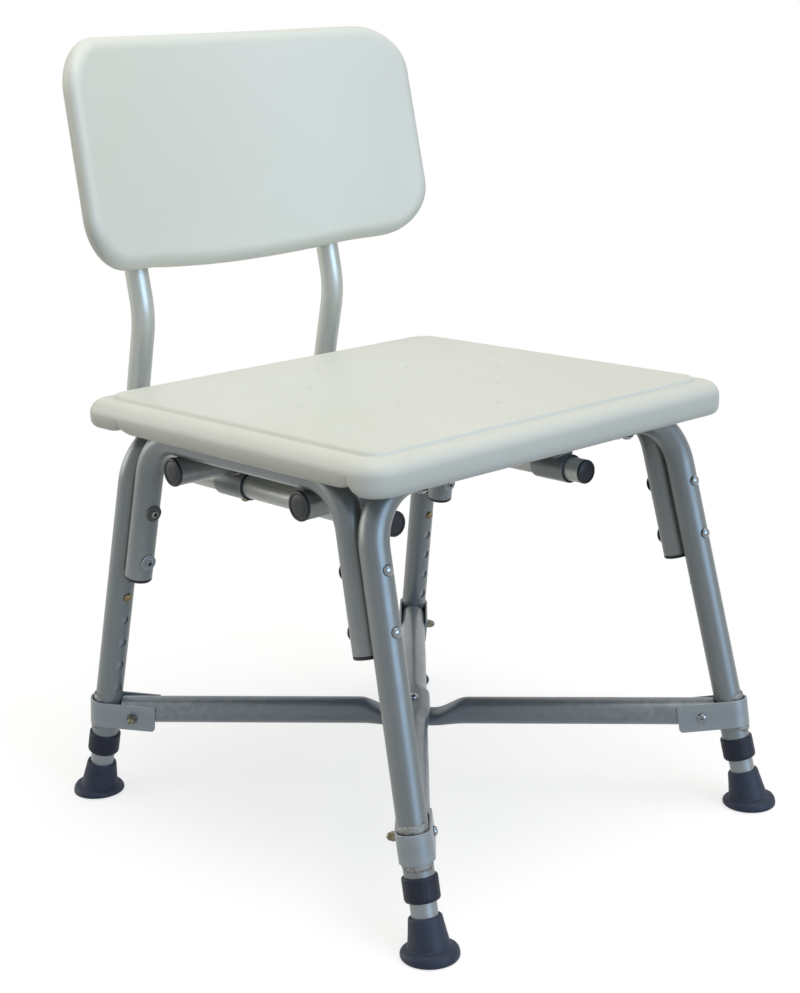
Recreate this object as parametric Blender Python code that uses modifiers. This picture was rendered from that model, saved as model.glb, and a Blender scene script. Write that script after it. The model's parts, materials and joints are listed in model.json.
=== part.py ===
# Bath seat with a detachable backrest, height-adjustable splayed legs and an X brace.
# Metres, +Z up. The sitter faces -Y. Left means -X, as seen from the front.
import math

import bmesh
import bpy
from mathutils import Matrix, Vector

# Fits
GAP = 0.0003                  # left between pieces that touch
SLIDE_CLEARANCE = 0.0004      # radial, tube inside tube
HOLE_CLEARANCE = 0.0004       # radial, bolt or button in its hole
WELD_BITE = 0.0008            # how far a welded sleeve sinks into its cross bar

# Tubes
TUBE_OD = 0.0268
TUBE_WALL = 0.0012
SLIDE_WALL = 0.0012
BEND_RADIUS = 0.055

# Seat panel
SEAT_WIDTH = 0.456
SEAT_DEPTH = 0.430
SEAT_HEIGHT = 0.4245
SEAT_THICKNESS = 0.0220       # raised panel down to the tubes
SEAT_CORNER = 0.028
SEAT_BORDER = 0.0195          # border left around the raised panel
SEAT_STEP = 0.0035            # height of the raised panel over the border
RAISED_CORNER = 0.018
SEAT_EDGE = 0.010             # rounding of the outer edge
SKIRT_DROP = 0.0315           # border down to the skirt's lowest edge
SKIRT_WALL = 0.011
SKIRT_RISE = 0.005            # how much higher the side and rear skirts end
NOTCH_FRONT_INSET = 0.034     # front edge in to the side skirts' front notches
NOTCH_REAR_INSET = 0.064
NOTCH_HEIGHT = 0.006
NOTCH_WIDTH = 0.022           # either side of a notch's point
DRAIN_SPREAD = 0.128          # seat centre to the outer drain holes
DRAIN_COUNT = 8
DRAIN_DIAMETER = 0.0065

# Leg frames and side rails
LEG_INSET_X = 0.0338          # seat edge in to the leg axis, at the top tubes
LEG_INSET_Y = 0.0477
LEG_SPLAY_X = math.radians(3.23)
LEG_SPLAY_Y = math.radians(12.3)
RAIL_BEND = 0.050
RAIL_DROP = 0.1409            # rail ends, down the leg from the top tubes
RAIL_BOLT_DROP = 0.0694
RAIL_BOLT_PITCH = 0.0522

# Leg extensions
BUTTON_BELOW_RAIL = 0.030     # rail's end down the leg to the highest button hole
BUTTON_PITCH = 0.0254
BUTTON_COUNT = 5
BUTTON_DIAMETER = 0.0082
BUTTON_PROUD = 0.0035         # how far a button stands out of the outer tube
BUTTON_TRAVEL = 0.005
BUTTON_LEAF = 0.034           # length of the button's leaf spring
BUTTON_SHEET = 0.0012
SLIDE_ABOVE_BUTTON = 0.034    # sliding tube above its button hole
COLLAR_BASE = 0.048           # up the leg from the floor
COLLAR_HEIGHT = 0.022
COLLAR_WALL = 0.0020
COLLAR_LIP = 0.0022
TIP_HEIGHT = 0.035
TIP_SOLE = 0.009              # rubber under the sliding tube
TIP_TOP_WALL = 0.0030
TIP_BOTTOM_WALL = 0.0060
TIP_FLANGE_DIAMETER = 0.051
TIP_FLANGE_HEIGHT = 0.0085

# Cross brace
BRACE_HEIGHT = 0.0933
BRACE_FLAT = 0.040            # length of the flattened middle
BRACE_TAPER = 0.032
BRACE_SPREAD = 1.22           # widening of the tube where it is flattened
CLAMP_WIDTH = 0.027
CLAMP_SHEET = 0.002
CLAMP_EAR = 0.052             # leg axis to the ear's end
CLAMP_BOLT_REACH = 0.029      # leg axis to the clamp bolt

# Cross bars and backrest sleeves
CROSS_FRONT_MARGIN = 0.0101   # end of the rails' straight run to the front bar
CROSS_REAR_MARGIN = 0.0016
CROSS_OVERHANG = 0.0085       # bar's end outside the rail's axis
SLEEVE_OD = 0.0283
SLEEVE_LENGTH = 0.042
SLEEVE_SPACING = 0.248        # between the two backrest posts
SLEEVE_BUTTON_INSET = 0.010   # rear sleeve's front end to the button

# Backrest
POST_FRONT_REACH = 0.018      # post standing out of the front sleeve
POST_BEHIND_SEAT = 0.0695     # seat's rear edge to where the lower run and the upright would meet
POST_LOW_LEAN = math.radians(14.5)
POST_LEAN = math.radians(10.1)
POST_KNEE_RISE = 0.0585       # seat top up to the knee
POST_BEND = 0.060
POST_KNEE_BEND = 0.090
POST_INSERT = 0.130           # post inside the panel's socket
BACK_WIDTH = 0.427
BACK_HEIGHT = 0.2197          # at the sides
BACK_THICKNESS = 0.030
BACK_RISE = 0.1045            # seat top up to the panel's lower corners
BACK_SAG = 0.052              # how far the panel's sides come forward
BACK_BOW = 0.005              # how far the bottom edge hangs between the posts
BACK_CROWN = 0.0076           # how far the top edge rises to its middle
BACK_TAPER = 0.02             # share of the width lost from bottom to top
BACK_OFFSET = 0.0157          # panel's middle in front of the post axis
BACK_CORNER_TOP = 0.050
BACK_CORNER_BOTTOM = 0.052
SOCKET_START = 0.016          # panel's lowest edge up to the sockets' mouths
SOCKET_WALL = 0.0045

# Plugs and fasteners
PLUG_HEAD = 0.0028
PLUG_STEM = 0.014
PLUG_LIP = 0.0004             # head of a cross bar's plug outside its tube
BOLT_DIAMETER = 0.006
BOLT_HEAD_DIAMETER = 0.0105
BOLT_HEAD_HEIGHT = 0.0036
BOLT_TAIL = 0.0015            # brace bolt below its nut
NUT_CORNERS = 0.0100
NUT_HEIGHT = 0.0045
ACORN_CROWN = 0.0045          # acorn nut's crown over its hexagon
RIVET_WASHER_DIAMETER = 0.0150
RIVET_WASHER = 0.0010
RIVET_DIAMETER = 0.0080
RIVET_HEIGHT = 0.0022

# Facets
TUBE_SIDES = 14
SMALL_SIDES = 8
PLUG_SIDES = 12
BEND_STEPS = 5
CORNER_STEPS = 5
BACK_STRIPS = 8
FACET_TWIST = math.radians(7)  # keeps a hole's edges off the seams of the tube it goes through

# Sizes that follow from the driving ones
TUBE_R = TUBE_OD / 2
BORE_R = TUBE_R - TUBE_WALL
SLIDE_R = BORE_R - SLIDE_CLEARANCE
SLIDE_BORE_R = SLIDE_R - SLIDE_WALL
SEAT_UNDER = SEAT_HEIGHT - SEAT_THICKNESS
FRAME_Z = SEAT_UNDER - GAP - TUBE_R
CROSS_Z = FRAME_Z - TUBE_OD - GAP
SLEEVE_R = SLEEVE_OD / 2
SLEEVE_Z = CROSS_Z - TUBE_R - SLEEVE_R + WELD_BITE
LEG_TOP_X = SEAT_WIDTH / 2 - LEG_INSET_X
LEG_TOP_Y = SEAT_DEPTH / 2 - LEG_INSET_Y
FOOT_X = LEG_TOP_X + FRAME_Z * math.tan(LEG_SPLAY_X)
FOOT_Y = LEG_TOP_Y + FRAME_Z * math.tan(LEG_SPLAY_Y)
LEG_UP = Vector((math.tan(LEG_SPLAY_X), math.tan(LEG_SPLAY_Y), 1)).normalized()
LEG_LENGTH = FRAME_Z / LEG_UP.z
OUTER_END = COLLAR_BASE + COLLAR_LIP + GAP
BUTTON_STATION = LEG_LENGTH - RAIL_DROP - BUTTON_BELOW_RAIL
RAIL_STEP = TUBE_OD + GAP     # leg axis to the rail leg's axis
BUTTON_R = BUTTON_DIAMETER / 2
BUTTON_HOLE_R = BUTTON_R + HOLE_CLEARANCE
BOLT_R = BOLT_DIAMETER / 2
BOLT_HOLE_R = BOLT_R + HOLE_CLEARANCE
RAIL_TOP_Y = LEG_TOP_Y - RAIL_STEP / math.sqrt(1 - LEG_UP.y ** 2)
RAIL_RUN_Y = RAIL_TOP_Y - RAIL_BEND * math.tan(math.acos(LEG_UP.y) / 2)
CROSS_FRONT_Y = CROSS_FRONT_MARGIN - RAIL_RUN_Y
CROSS_REAR_Y = RAIL_RUN_Y - CROSS_REAR_MARGIN
CROSS_LENGTH = 2 * (LEG_TOP_X + CROSS_OVERHANG)
POST_FRONT_Y = CROSS_FRONT_Y - TUBE_R - POST_FRONT_REACH
POST_BUTTON_Y = CROSS_REAR_Y - TUBE_R + SLEEVE_BUTTON_INSET
POST_REAR_Y = SEAT_DEPTH / 2 + POST_BEHIND_SEAT
POST_KNEE_HEIGHT = SEAT_HEIGHT + POST_KNEE_RISE

CORNERS = {
    "front_left": (-1, -1),
    "front_right": (1, -1),
    "rear_left": (-1, 1),
    "rear_right": (1, 1),
}
BRACES = {"lower": ("rear_left", "front_right"), "upper": ("front_left", "rear_right")}
SIDES = {"left": -1, "right": 1}


# Scene and materials

def clear_scene():
    for obj in list(bpy.data.objects):
        bpy.data.objects.remove(obj, do_unlink=True)


def new_collection(name):
    collection = bpy.data.collections.new(name)
    bpy.context.scene.collection.children.link(collection)
    return collection


def new_material(name, color, roughness, metallic):
    material = bpy.data.materials.new(name)
    material.use_nodes = True
    shader = material.node_tree.nodes["Principled BSDF"]
    shader.inputs["Base Color"].default_value = (*color, 1)
    shader.inputs["Roughness"].default_value = roughness
    shader.inputs["Metallic"].default_value = metallic
    return material


clear_scene()
PARTS = new_collection("bath_seat")
CUTTERS = new_collection("cutters")
WHITE_PLASTIC = new_material("white_plastic", (0.78, 0.79, 0.74), 0.45, 0.0)
ALUMINIUM = new_material("aluminium", (0.55, 0.57, 0.59), 0.35, 1.0)
BLACK_PLASTIC = new_material("black_plastic", (0.045, 0.05, 0.055), 0.5, 0.0)
BLACK_RUBBER = new_material("black_rubber", (0.03, 0.035, 0.045), 0.75, 0.0)
BRASS = new_material("brass", (0.72, 0.55, 0.26), 0.35, 1.0)
STEEL = new_material("steel", (0.62, 0.63, 0.64), 0.3, 1.0)


# Objects

def add_object(name, mesh, material, parent=None, local=Matrix()):
    mesh.shade_smooth()
    mesh.set_sharp_from_angle(angle=math.radians(35))
    mesh.materials.append(material)
    obj = bpy.data.objects.new(name, mesh)
    PARTS.objects.link(obj)
    obj.parent = parent
    obj.matrix_basis = local
    return obj


def add_empty(name, matrix):
    empty = bpy.data.objects.new(name, None)
    PARTS.objects.link(empty)
    empty.empty_display_size = TUBE_OD
    empty.matrix_basis = matrix
    return empty


def add_tool(name, mesh, matrix=Matrix()):
    tool = bpy.data.objects.new(name, mesh)
    CUTTERS.objects.link(tool)
    tool.matrix_basis = matrix
    tool.hide_render = True
    tool.display_type = "WIRE"
    return tool


def combine(obj, tool, operation):
    boolean = obj.modifiers.new(tool.name, "BOOLEAN")
    boolean.operation = operation
    boolean.solver = "EXACT"
    boolean.object = tool
    return obj


def frame_at(origin, up, toward):
    up = Vector(up).normalized()
    ahead = Vector(toward) - up * up.dot(Vector(toward))
    ahead.normalize()
    across = up.cross(ahead)
    matrix = Matrix((ahead, across, up)).transposed().to_4x4()
    matrix.translation = Vector(origin)
    return matrix


# Meshes

def round_bore(radius, sides):
    # radius of a faceted hole that clears a round piece by the usual gap
    return (radius + GAP) / math.cos(math.pi / sides)


def mesh_of(name, bm):
    mesh = bpy.data.meshes.new(name)
    bm.to_mesh(mesh)
    bm.free()
    return mesh


def cylinders(name, rods, sides=SMALL_SIDES):
    # one mesh of round rods, each from its start to its end
    bm = bmesh.new()
    for start, end, radius in rods:
        along = Vector(end) - Vector(start)
        turn = along.to_track_quat("Z", "Y").to_matrix().to_4x4()
        turn = turn @ Matrix.Rotation(FACET_TWIST, 4, "Z")
        place = Matrix.Translation((Vector(start) + Vector(end)) / 2) @ turn
        bmesh.ops.create_cone(
            bm, cap_ends=True, segments=sides, radius1=radius, radius2=radius,
            depth=along.length, matrix=place)
    return mesh_of(name, bm)


def box(name, low, high, matrix=Matrix()):
    low, high = Vector(low), Vector(high)
    bm = bmesh.new()
    place = Matrix.Translation((low + high) / 2) @ Matrix.Diagonal((*(high - low), 1))
    bmesh.ops.create_cube(bm, size=1, matrix=matrix @ place)
    return mesh_of(name, bm)


def turned(name, profile, ring=False, sides=TUBE_SIDES):
    # (radius, height) points down the outer side; a ring's profile closes on itself
    bm = bmesh.new()
    points = [bm.verts.new((radius, 0, height)) for radius, height in profile]
    for first, second in zip(points, points[1:]):
        bm.edges.new((first, second))
    if ring:
        bm.edges.new((points[-1], points[0]))
    source = bpy.data.objects.new(name, mesh_of(name, bm))
    screw = source.modifiers.new("turn", "SCREW")
    screw.steps = sides
    screw.render_steps = sides
    screw.use_merge_vertices = True
    screw.merge_threshold = 0.00001
    return evaluated_mesh(name, source)


def tube(name, length, outer, bore, start=0.0, sides=TUBE_SIDES):
    end = start + length
    return turned(name, [(bore, end), (outer, end), (outer, start), (bore, start)], True, sides)


def evaluated_mesh(name, source):
    bpy.context.scene.collection.objects.link(source)
    bpy.context.view_layer.update()
    evaluated = source.evaluated_get(bpy.context.evaluated_depsgraph_get())
    mesh = bpy.data.meshes.new_from_object(evaluated)
    mesh.name = name
    mesh.materials.clear()
    bm = bmesh.new()
    bm.from_mesh(mesh)
    bmesh.ops.remove_doubles(bm, verts=bm.verts, dist=0.00001)
    bm.to_mesh(mesh)
    bm.free()
    bpy.data.objects.remove(source, do_unlink=True)
    return mesh


def bent_path(corners, radius):
    # straight runs through the corners, with an arc of the given radius at each bend
    path = [corners[0]]
    for before, corner, after in zip(corners, corners[1:], corners[2:]):
        back = (before - corner).normalized()
        ahead = (after - corner).normalized()
        half = back.angle(ahead) / 2
        reach = radius / math.tan(half)
        middle = corner + (back + ahead).normalized() * radius / math.sin(half)
        spoke = corner + back * reach - middle
        axis = back.cross(ahead)
        sweep = math.pi - 2 * half
        for step in range(BEND_STEPS + 1):
            turn = Matrix.Rotation(-sweep * step / BEND_STEPS, 3, axis)
            path.append(middle + turn @ spoke)
    path.append(corners[-1])
    return path


def swept_skin(name, path, radius):
    curve = bpy.data.curves.new(name, "CURVE")
    curve.dimensions = "3D"
    curve.bevel_depth = radius
    curve.bevel_resolution = (TUBE_SIDES - 4) // 2
    spline = curve.splines.new("POLY")
    spline.points.add(len(path) - 1)
    for point, place in zip(spline.points, path):
        point.co = (*place, 1)
    return evaluated_mesh(name, bpy.data.objects.new(name, curve))


def add_wall(obj, wall):
    shell = obj.modifiers.new("wall", "SOLIDIFY")
    shell.thickness = wall
    shell.offset = -1
    shell.use_even_offset = True
    return obj


def plate(name, outline, thickness, edge=0.0, edge_steps=2):
    # flat closed outline in XY, centred on Z = 0, its edges rounded by a quarter circle
    curve = bpy.data.curves.new(name, "CURVE")
    curve.dimensions = "2D"
    curve.fill_mode = "BOTH"
    curve.extrude = thickness / 2 - edge
    curve.bevel_depth = edge
    curve.bevel_resolution = edge_steps
    curve.offset = -edge
    spline = curve.splines.new("POLY")
    spline.points.add(len(outline) - 1)
    for point, (x, y) in zip(spline.points, outline):
        point.co = (x, y, 0, 1)
    spline.use_cyclic_u = True
    return evaluated_mesh(name, bpy.data.objects.new(name, curve))


def arc(center, radius, start, end, steps=CORNER_STEPS):
    points = []
    for step in range(steps + 1):
        angle = math.radians(start + (end - start) * step / steps)
        points.append((center[0] + radius * math.cos(angle), center[1] + radius * math.sin(angle)))
    return points


def rounded_rectangle(width, depth, low_corner, high_corner, low=None):
    # centred on X, from Y = low, counter-clockwise
    low = -depth / 2 if low is None else low
    high = low + depth
    half = width / 2
    outline = arc((half - low_corner, low + low_corner), low_corner, -90, 0)
    outline += arc((half - high_corner, high - high_corner), high_corner, 0, 90)
    outline += arc((high_corner - half, high - high_corner), high_corner, 90, 180)
    outline += arc((low_corner - half, low + low_corner), low_corner, 180, 270)
    return outline


# Legs share one frame each: origin on the floor, +Z up the leg, +X to the seat's middle

def leg_frame(corner):
    across, along = CORNERS[corner]
    foot = (across * FOOT_X, along * FOOT_Y, 0)
    up = (-across * LEG_UP.x, -along * LEG_UP.y, LEG_UP.z)
    return frame_at(foot, up, (0, -along, 0))


def on_leg(corner, station, inward=0.0):
    return leg_frame(corner) @ Vector((inward, 0, station))


LEG_EMPTIES = {corner: add_empty("leg_axis_" + corner, leg_frame(corner)) for corner in CORNERS}
BACKREST_EMPTY = add_empty("backrest_slide_axis", Matrix.Translation((0, 0, SLEEVE_Z)))


def rail_bolt_stations():
    upper = LEG_LENGTH - RAIL_BOLT_DROP
    return {"upper": upper, "lower": upper - RAIL_BOLT_PITCH}


def rail_bolt_rods(corners):
    rods = []
    for corner in corners:
        for station in rail_bolt_stations().values():
            start = on_leg(corner, station, -TUBE_OD)
            end = on_leg(corner, station, RAIL_STEP + TUBE_OD)
            rods.append((start, end, BOLT_HOLE_R))
    return rods


def button_rods(corners):
    rods = []
    for corner in corners:
        for hole in range(BUTTON_COUNT):
            station = BUTTON_STATION - hole * BUTTON_PITCH
            rods.append((on_leg(corner, station), on_leg(corner, station, TUBE_OD), BUTTON_HOLE_R))
    return rods


def make_leg_frame(end):
    corners = [end + "_left", end + "_right"]
    left, right = corners
    path = bent_path([
        on_leg(left, OUTER_END), on_leg(left, LEG_LENGTH),
        on_leg(right, LEG_LENGTH), on_leg(right, OUTER_END)], BEND_RADIUS)
    name = end + "_leg_frame"
    frame = add_wall(add_object(name, swept_skin(name, path, TUBE_R), ALUMINIUM), TUBE_WALL)
    holes = cylinders(name + "_holes", rail_bolt_rods(corners) + button_rods(corners))
    return combine(frame, add_tool(name + "_holes", holes), "DIFFERENCE")


def rail_top(corner):
    # where the rail leg's axis reaches the height of the top tubes
    frame = leg_frame(corner)
    start = frame @ Vector((RAIL_STEP, 0, 0))
    up = frame.to_3x3() @ Vector((0, 0, 1))
    return start + up * (FRAME_Z - start.z) / up.z


def make_side_rail(side):
    corners = ["front_" + side, "rear_" + side]
    front, rear = corners
    low = LEG_LENGTH - RAIL_DROP
    path = bent_path([
        on_leg(front, low, RAIL_STEP), rail_top(front),
        rail_top(rear), on_leg(rear, low, RAIL_STEP)], RAIL_BEND)
    name = "side_rail_" + side
    rail = add_wall(add_object(name, swept_skin(name, path, TUBE_R), ALUMINIUM), TUBE_WALL)
    holes = cylinders(name + "_holes", rail_bolt_rods(corners))
    combine(rail, add_tool(name + "_holes", holes), "DIFFERENCE")
    for corner in corners:
        place = Matrix.Translation((RAIL_STEP, 0, low)) @ Matrix.Rotation(math.pi, 4, "X")
        plug = plug_mesh("side_rail_plug_" + corner, TUBE_R, BORE_R)
        add_object("side_rail_plug_" + corner, plug, BLACK_PLASTIC, LEG_EMPTIES[corner], place)


# End plugs: the head's underside is at Z = 0, the stem goes down into the bore

def plug_mesh(name, head, bore):
    stem = bore - GAP
    fit = stem * math.cos(math.pi / TUBE_SIDES)
    return turned(name, [
        (0, PLUG_HEAD + GAP), (head * 0.86, PLUG_HEAD + GAP), (head, PLUG_HEAD * 0.55 + GAP),
        (head, GAP), (fit, GAP), (fit, -PLUG_STEM), (0, -PLUG_STEM)], sides=PLUG_SIDES)


# Bolts lie along Z, centred on their grip, with the domed head up

def bolt_head(grip):
    top = grip / 2 + GAP
    head = BOLT_HEAD_DIAMETER / 2
    return [
        (0, top + BOLT_HEAD_HEIGHT), (head * 0.62, top + BOLT_HEAD_HEIGHT * 0.84),
        (head, top + BOLT_HEAD_HEIGHT * 0.2), (head, top), (BOLT_R, top)]


def add_nut_bolt(name, grip, place, crown_height):
    # a hexagonal nut at the lower end, closed by a crown
    low = -grip / 2 - GAP
    crown = NUT_CORNERS * 0.4
    tail = low - NUT_HEIGHT - crown_height
    profile = bolt_head(grip) + [
        (BOLT_R, low - NUT_HEIGHT / 2), (crown, low - NUT_HEIGHT / 2), (crown, low - NUT_HEIGHT),
        (crown * 0.75, tail + 0.35 * crown_height), (0, tail)]
    bolt = add_object(name, turned(name, profile, sides=SMALL_SIDES), STEEL, local=place)
    nut = cylinders(name + "_nut", [((0, 0, low - NUT_HEIGHT), (0, 0, low), NUT_CORNERS / 2)], 6)
    return combine(bolt, add_tool(name + "_nut", nut, place), "UNION")


def add_rivet(name, grip, parent, place):
    # the lower end is spread over a washer
    low = -grip / 2 - GAP
    washer = low - RIVET_WASHER
    spread = RIVET_DIAMETER / 2
    rim = RIVET_WASHER_DIAMETER / 2
    profile = bolt_head(grip) + [
        (BOLT_R, low), (rim, low), (rim, washer), (spread, washer),
        (spread * 0.7, washer - RIVET_HEIGHT), (0, washer - RIVET_HEIGHT)]
    return add_object(name, turned(name, profile, sides=SMALL_SIDES), STEEL, parent, place)


def make_rail_bolts(corner):
    for level, station in rail_bolt_stations().items():
        middle = Matrix.Translation((RAIL_STEP / 2, 0, station))
        # heads are on the outside of the legs, spread ends on the inside of the rails
        turn = Matrix.Rotation(-math.pi / 2, 4, "Y")
        name = "rail_bolt_" + level + "_" + corner
        add_rivet(name, RAIL_STEP + TUBE_OD, LEG_EMPTIES[corner], middle @ turn)


# Leg extensions

def make_leg_extension(corner):
    empty = LEG_EMPTIES[corner]
    end = BUTTON_STATION + SLIDE_ABOVE_BUTTON
    start = TIP_SOLE + GAP
    name = "leg_tube_" + corner
    slide = add_object(
        name, tube(name, end - start, SLIDE_R, SLIDE_BORE_R, start), ALUMINIUM, empty)
    rod = (on_leg(corner, BUTTON_STATION), on_leg(corner, BUTTON_STATION, TUBE_OD), BUTTON_HOLE_R)
    combine(slide, add_tool(name + "_hole", cylinders(name + "_hole", [rod])), "DIFFERENCE")
    make_collar("leg_collar_" + corner, empty)
    make_tip("leg_tip_" + corner, corner)
    outward = Matrix.Translation((0, 0, BUTTON_STATION)) @ Matrix.Rotation(math.pi / 2, 4, "Y")
    add_button("leg_button_" + corner, empty, outward)


def make_collar(name, empty):
    inner = round_bore(TUBE_R, TUBE_SIDES)
    lip = round_bore(SLIDE_R, TUBE_SIDES)
    outer = inner + COLLAR_WALL
    top = COLLAR_BASE + COLLAR_HEIGHT
    ledge = COLLAR_BASE + COLLAR_LIP
    chamfer = COLLAR_WALL / 3
    add_object(name, turned(name, [
        (inner, top), (outer - chamfer, top), (outer, top - chamfer),
        (outer, ledge + chamfer), (outer - 2 * chamfer, COLLAR_BASE),
        (lip, COLLAR_BASE), (lip, ledge), (inner, ledge)], True), BLACK_PLASTIC, empty)


def make_tip(name, corner):
    frame = leg_frame(corner)
    inner = round_bore(SLIDE_R, TUBE_SIDES)
    top = inner + TIP_TOP_WALL
    bottom = inner + TIP_BOTTOM_WALL
    flange = TIP_FLANGE_DIAMETER / 2
    body = add_object(name, turned(name, [
        (0, TIP_HEIGHT), (top - 0.3 * TIP_TOP_WALL, TIP_HEIGHT),
        (top, TIP_HEIGHT - 0.4 * TIP_TOP_WALL), (bottom, TIP_FLANGE_HEIGHT),
        (bottom, TIP_SOLE / 2), (0, TIP_SOLE / 2)]), BLACK_RUBBER, LEG_EMPTIES[corner])
    # the flange stands half way between square to the leg and flat on the floor
    up = frame.to_3x3() @ Vector((0, 0, 1)) + Vector((0, 0, 1))
    rim = turned(name + "_flange", [
        (0, TIP_FLANGE_HEIGHT), (bottom + 0.1 * (flange - bottom), TIP_FLANGE_HEIGHT),
        (bottom + 0.6 * (flange - bottom), TIP_FLANGE_HEIGHT * 0.85),
        (flange, TIP_FLANGE_HEIGHT * 0.5), (flange, TIP_FLANGE_HEIGHT * 0.2),
        (flange * 0.96, -TIP_FLANGE_HEIGHT / 2), (0, -TIP_FLANGE_HEIGHT / 2)])
    level = frame_at(frame.translation, up, (1, 0, 0))
    combine(body, add_tool(name + "_flange", rim, level), "UNION")
    below = Matrix.Translation(frame.translation)
    reach = TIP_FLANGE_DIAMETER
    floor = box(name + "_floor", (-reach, -reach, -reach), (reach, reach, 0), below)
    combine(body, add_tool(name + "_floor", floor), "DIFFERENCE")
    rod = (on_leg(corner, TIP_SOLE), on_leg(corner, TIP_HEIGHT + TIP_SOLE), inner)
    socket = cylinders(name + "_socket", [rod], TUBE_SIDES)
    combine(body, add_tool(name + "_socket", socket), "DIFFERENCE")


# A spring button: +Z points out of the tube, the origin lies on the tube's axis

def add_button(name, parent, place):
    tip = TUBE_R + BUTTON_PROUD
    head = BUTTON_R * 1.35
    seat = math.sqrt(SLIDE_BORE_R ** 2 - head ** 2) - 2 * GAP
    sheet = BUTTON_SHEET
    pin = turned(name, [
        (0, tip), (BUTTON_R * 0.6, tip - BUTTON_R * 0.16), (BUTTON_R * 0.94, tip - BUTTON_R * 0.5),
        (BUTTON_R, tip - BUTTON_R * 0.8), (BUTTON_R, seat), (head, seat),
        (head, seat - sheet), (0, seat - sheet)], sides=SMALL_SIDES)
    button = add_object(name, pin, BRASS, parent, place)
    bpy.context.view_layer.update()
    # the leaf runs up the tube and leans away from the hole, short of the far wall when pressed
    lean = math.asin((seat + SLIDE_BORE_R - BUTTON_TRAVEL - 4 * sheet) / BUTTON_LEAF)
    half = BUTTON_R * 0.8
    tilt = Matrix.Translation((0, 0, seat - sheet / 2)) @ Matrix.Rotation(-lean, 4, "Y")
    leaf = box(name + "_leaf", (-BUTTON_LEAF, -half, -sheet / 2), (0, half, sheet / 2), tilt)
    combine(button, add_tool(name + "_leaf", leaf, button.matrix_world.copy()), "UNION")


# Cross brace: two tubes flattened where they cross, each end held in a strap round the leg

def clamp_frame(corner):
    # on the leg axis at the brace's height, +X along the ears to the middle, +Z up the strap,
    # which leans half as much as the leg does away from the brace
    start = on_leg(corner, BRACE_HEIGHT / LEG_UP.z)
    inward = Vector((-start.x, -start.y, 0)).normalized()
    up = leg_frame(corner).to_3x3() @ Vector((0, 0, 1))
    square = (up - inward * up.dot(inward)).normalized()
    return frame_at(start, square + up, inward)


def leg_lean(square):
    # tangent of the leg's lean, seen square to the brace or square to the strap
    frame = clamp_frame("front_left")
    up = leg_frame("front_left").to_3x3() @ Vector((0, 0, 1))
    if square:
        inward = Vector((-frame.translation.x, -frame.translation.y, 0)).normalized()
        return up.dot(inward) / math.sqrt(1 - up.dot(inward) ** 2)
    local = frame.to_3x3().inverted() @ up
    return local.x / local.z


def brace_stand_off():
    # leg axis to the brace tube's end, so that the end's rim clears the leg
    lean = leg_lean(square=True)
    return (TUBE_R + 2 * GAP) * math.sqrt(1 + lean ** 2) + TUBE_R * lean


def clamp_bolt_rod(corner):
    frame = clamp_frame(corner)
    reach = TUBE_OD + CLAMP_SHEET
    start = frame @ Vector((CLAMP_BOLT_REACH, -reach, 0))
    end = frame @ Vector((CLAMP_BOLT_REACH, reach, 0))
    return start, end, BOLT_HOLE_R


def make_brace(level, corners):
    name = "brace_tube_" + level
    left, right = (on_leg(corner, BRACE_HEIGHT / LEG_UP.z) for corner in corners)
    half = (right - left).length / 2 - brace_stand_off()
    flat = BRACE_FLAT / 2
    stops = [flat, flat + BRACE_TAPER, half]
    path = [Vector((x, 0, 0)) for x in [-stop for stop in reversed(stops)] + stops]
    skin = swept_skin(name, path, TUBE_R)
    keep = (TUBE_R - GAP / 2) / TUBE_OD
    rest = -TUBE_R if level == "lower" else TUBE_R
    for vertex in skin.vertices:
        if abs(vertex.co.x) < flat + BRACE_TAPER / 2:
            vertex.co.z = rest + (vertex.co.z - rest) * keep
            vertex.co.y *= BRACE_SPREAD
    place = frame_at((left + right) / 2, (0, 0, 1), right - left)
    brace = add_wall(add_object(name, skin, ALUMINIUM, local=place), TUBE_WALL)
    rods = [clamp_bolt_rod(corner) for corner in corners]
    rods.append(((0, 0, BRACE_HEIGHT - TUBE_OD), (0, 0, BRACE_HEIGHT + TUBE_OD), BOLT_HOLE_R))
    combine(brace, add_tool(name + "_holes", cylinders(name + "_holes", rods)), "DIFFERENCE")


def make_clamp(corner):
    name = "brace_clamp_" + corner
    inner = round_bore(TUBE_R, 2 * TUBE_SIDES)
    outer = inner + CLAMP_SHEET
    # the bend is set outward, so that its lower edge clears the leaning leg
    lean = leg_lean(square=False)
    middle = (-lean * CLAMP_WIDTH / 2 - inner * (math.sqrt(1 + lean ** 2) - 1), 0)
    outline = arc(middle, outer, 90, 270, TUBE_SIDES)
    outline += [(CLAMP_EAR, -outer), (CLAMP_EAR, -inner)]
    outline += arc(middle, inner, 270, 90, TUBE_SIDES)
    outline += [(CLAMP_EAR, inner), (CLAMP_EAR, outer)]
    frame = clamp_frame(corner)
    strap = add_object(name, plate(name, outline, CLAMP_WIDTH), ALUMINIUM, local=frame)
    hole = cylinders(name + "_hole", [clamp_bolt_rod(corner)])
    combine(strap, add_tool(name + "_hole", hole), "DIFFERENCE")
    across = CORNERS[corner][0] * CORNERS[corner][1]
    spot = Matrix.Translation((CLAMP_BOLT_REACH, 0, 0))
    turn = Matrix.Rotation(across * math.pi / 2, 4, "X")
    add_nut_bolt("clamp_bolt_" + corner, 2 * outer, frame @ spot @ turn, ACORN_CROWN)


# Cross bars carry the sleeves that the backrest posts slide into

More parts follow.
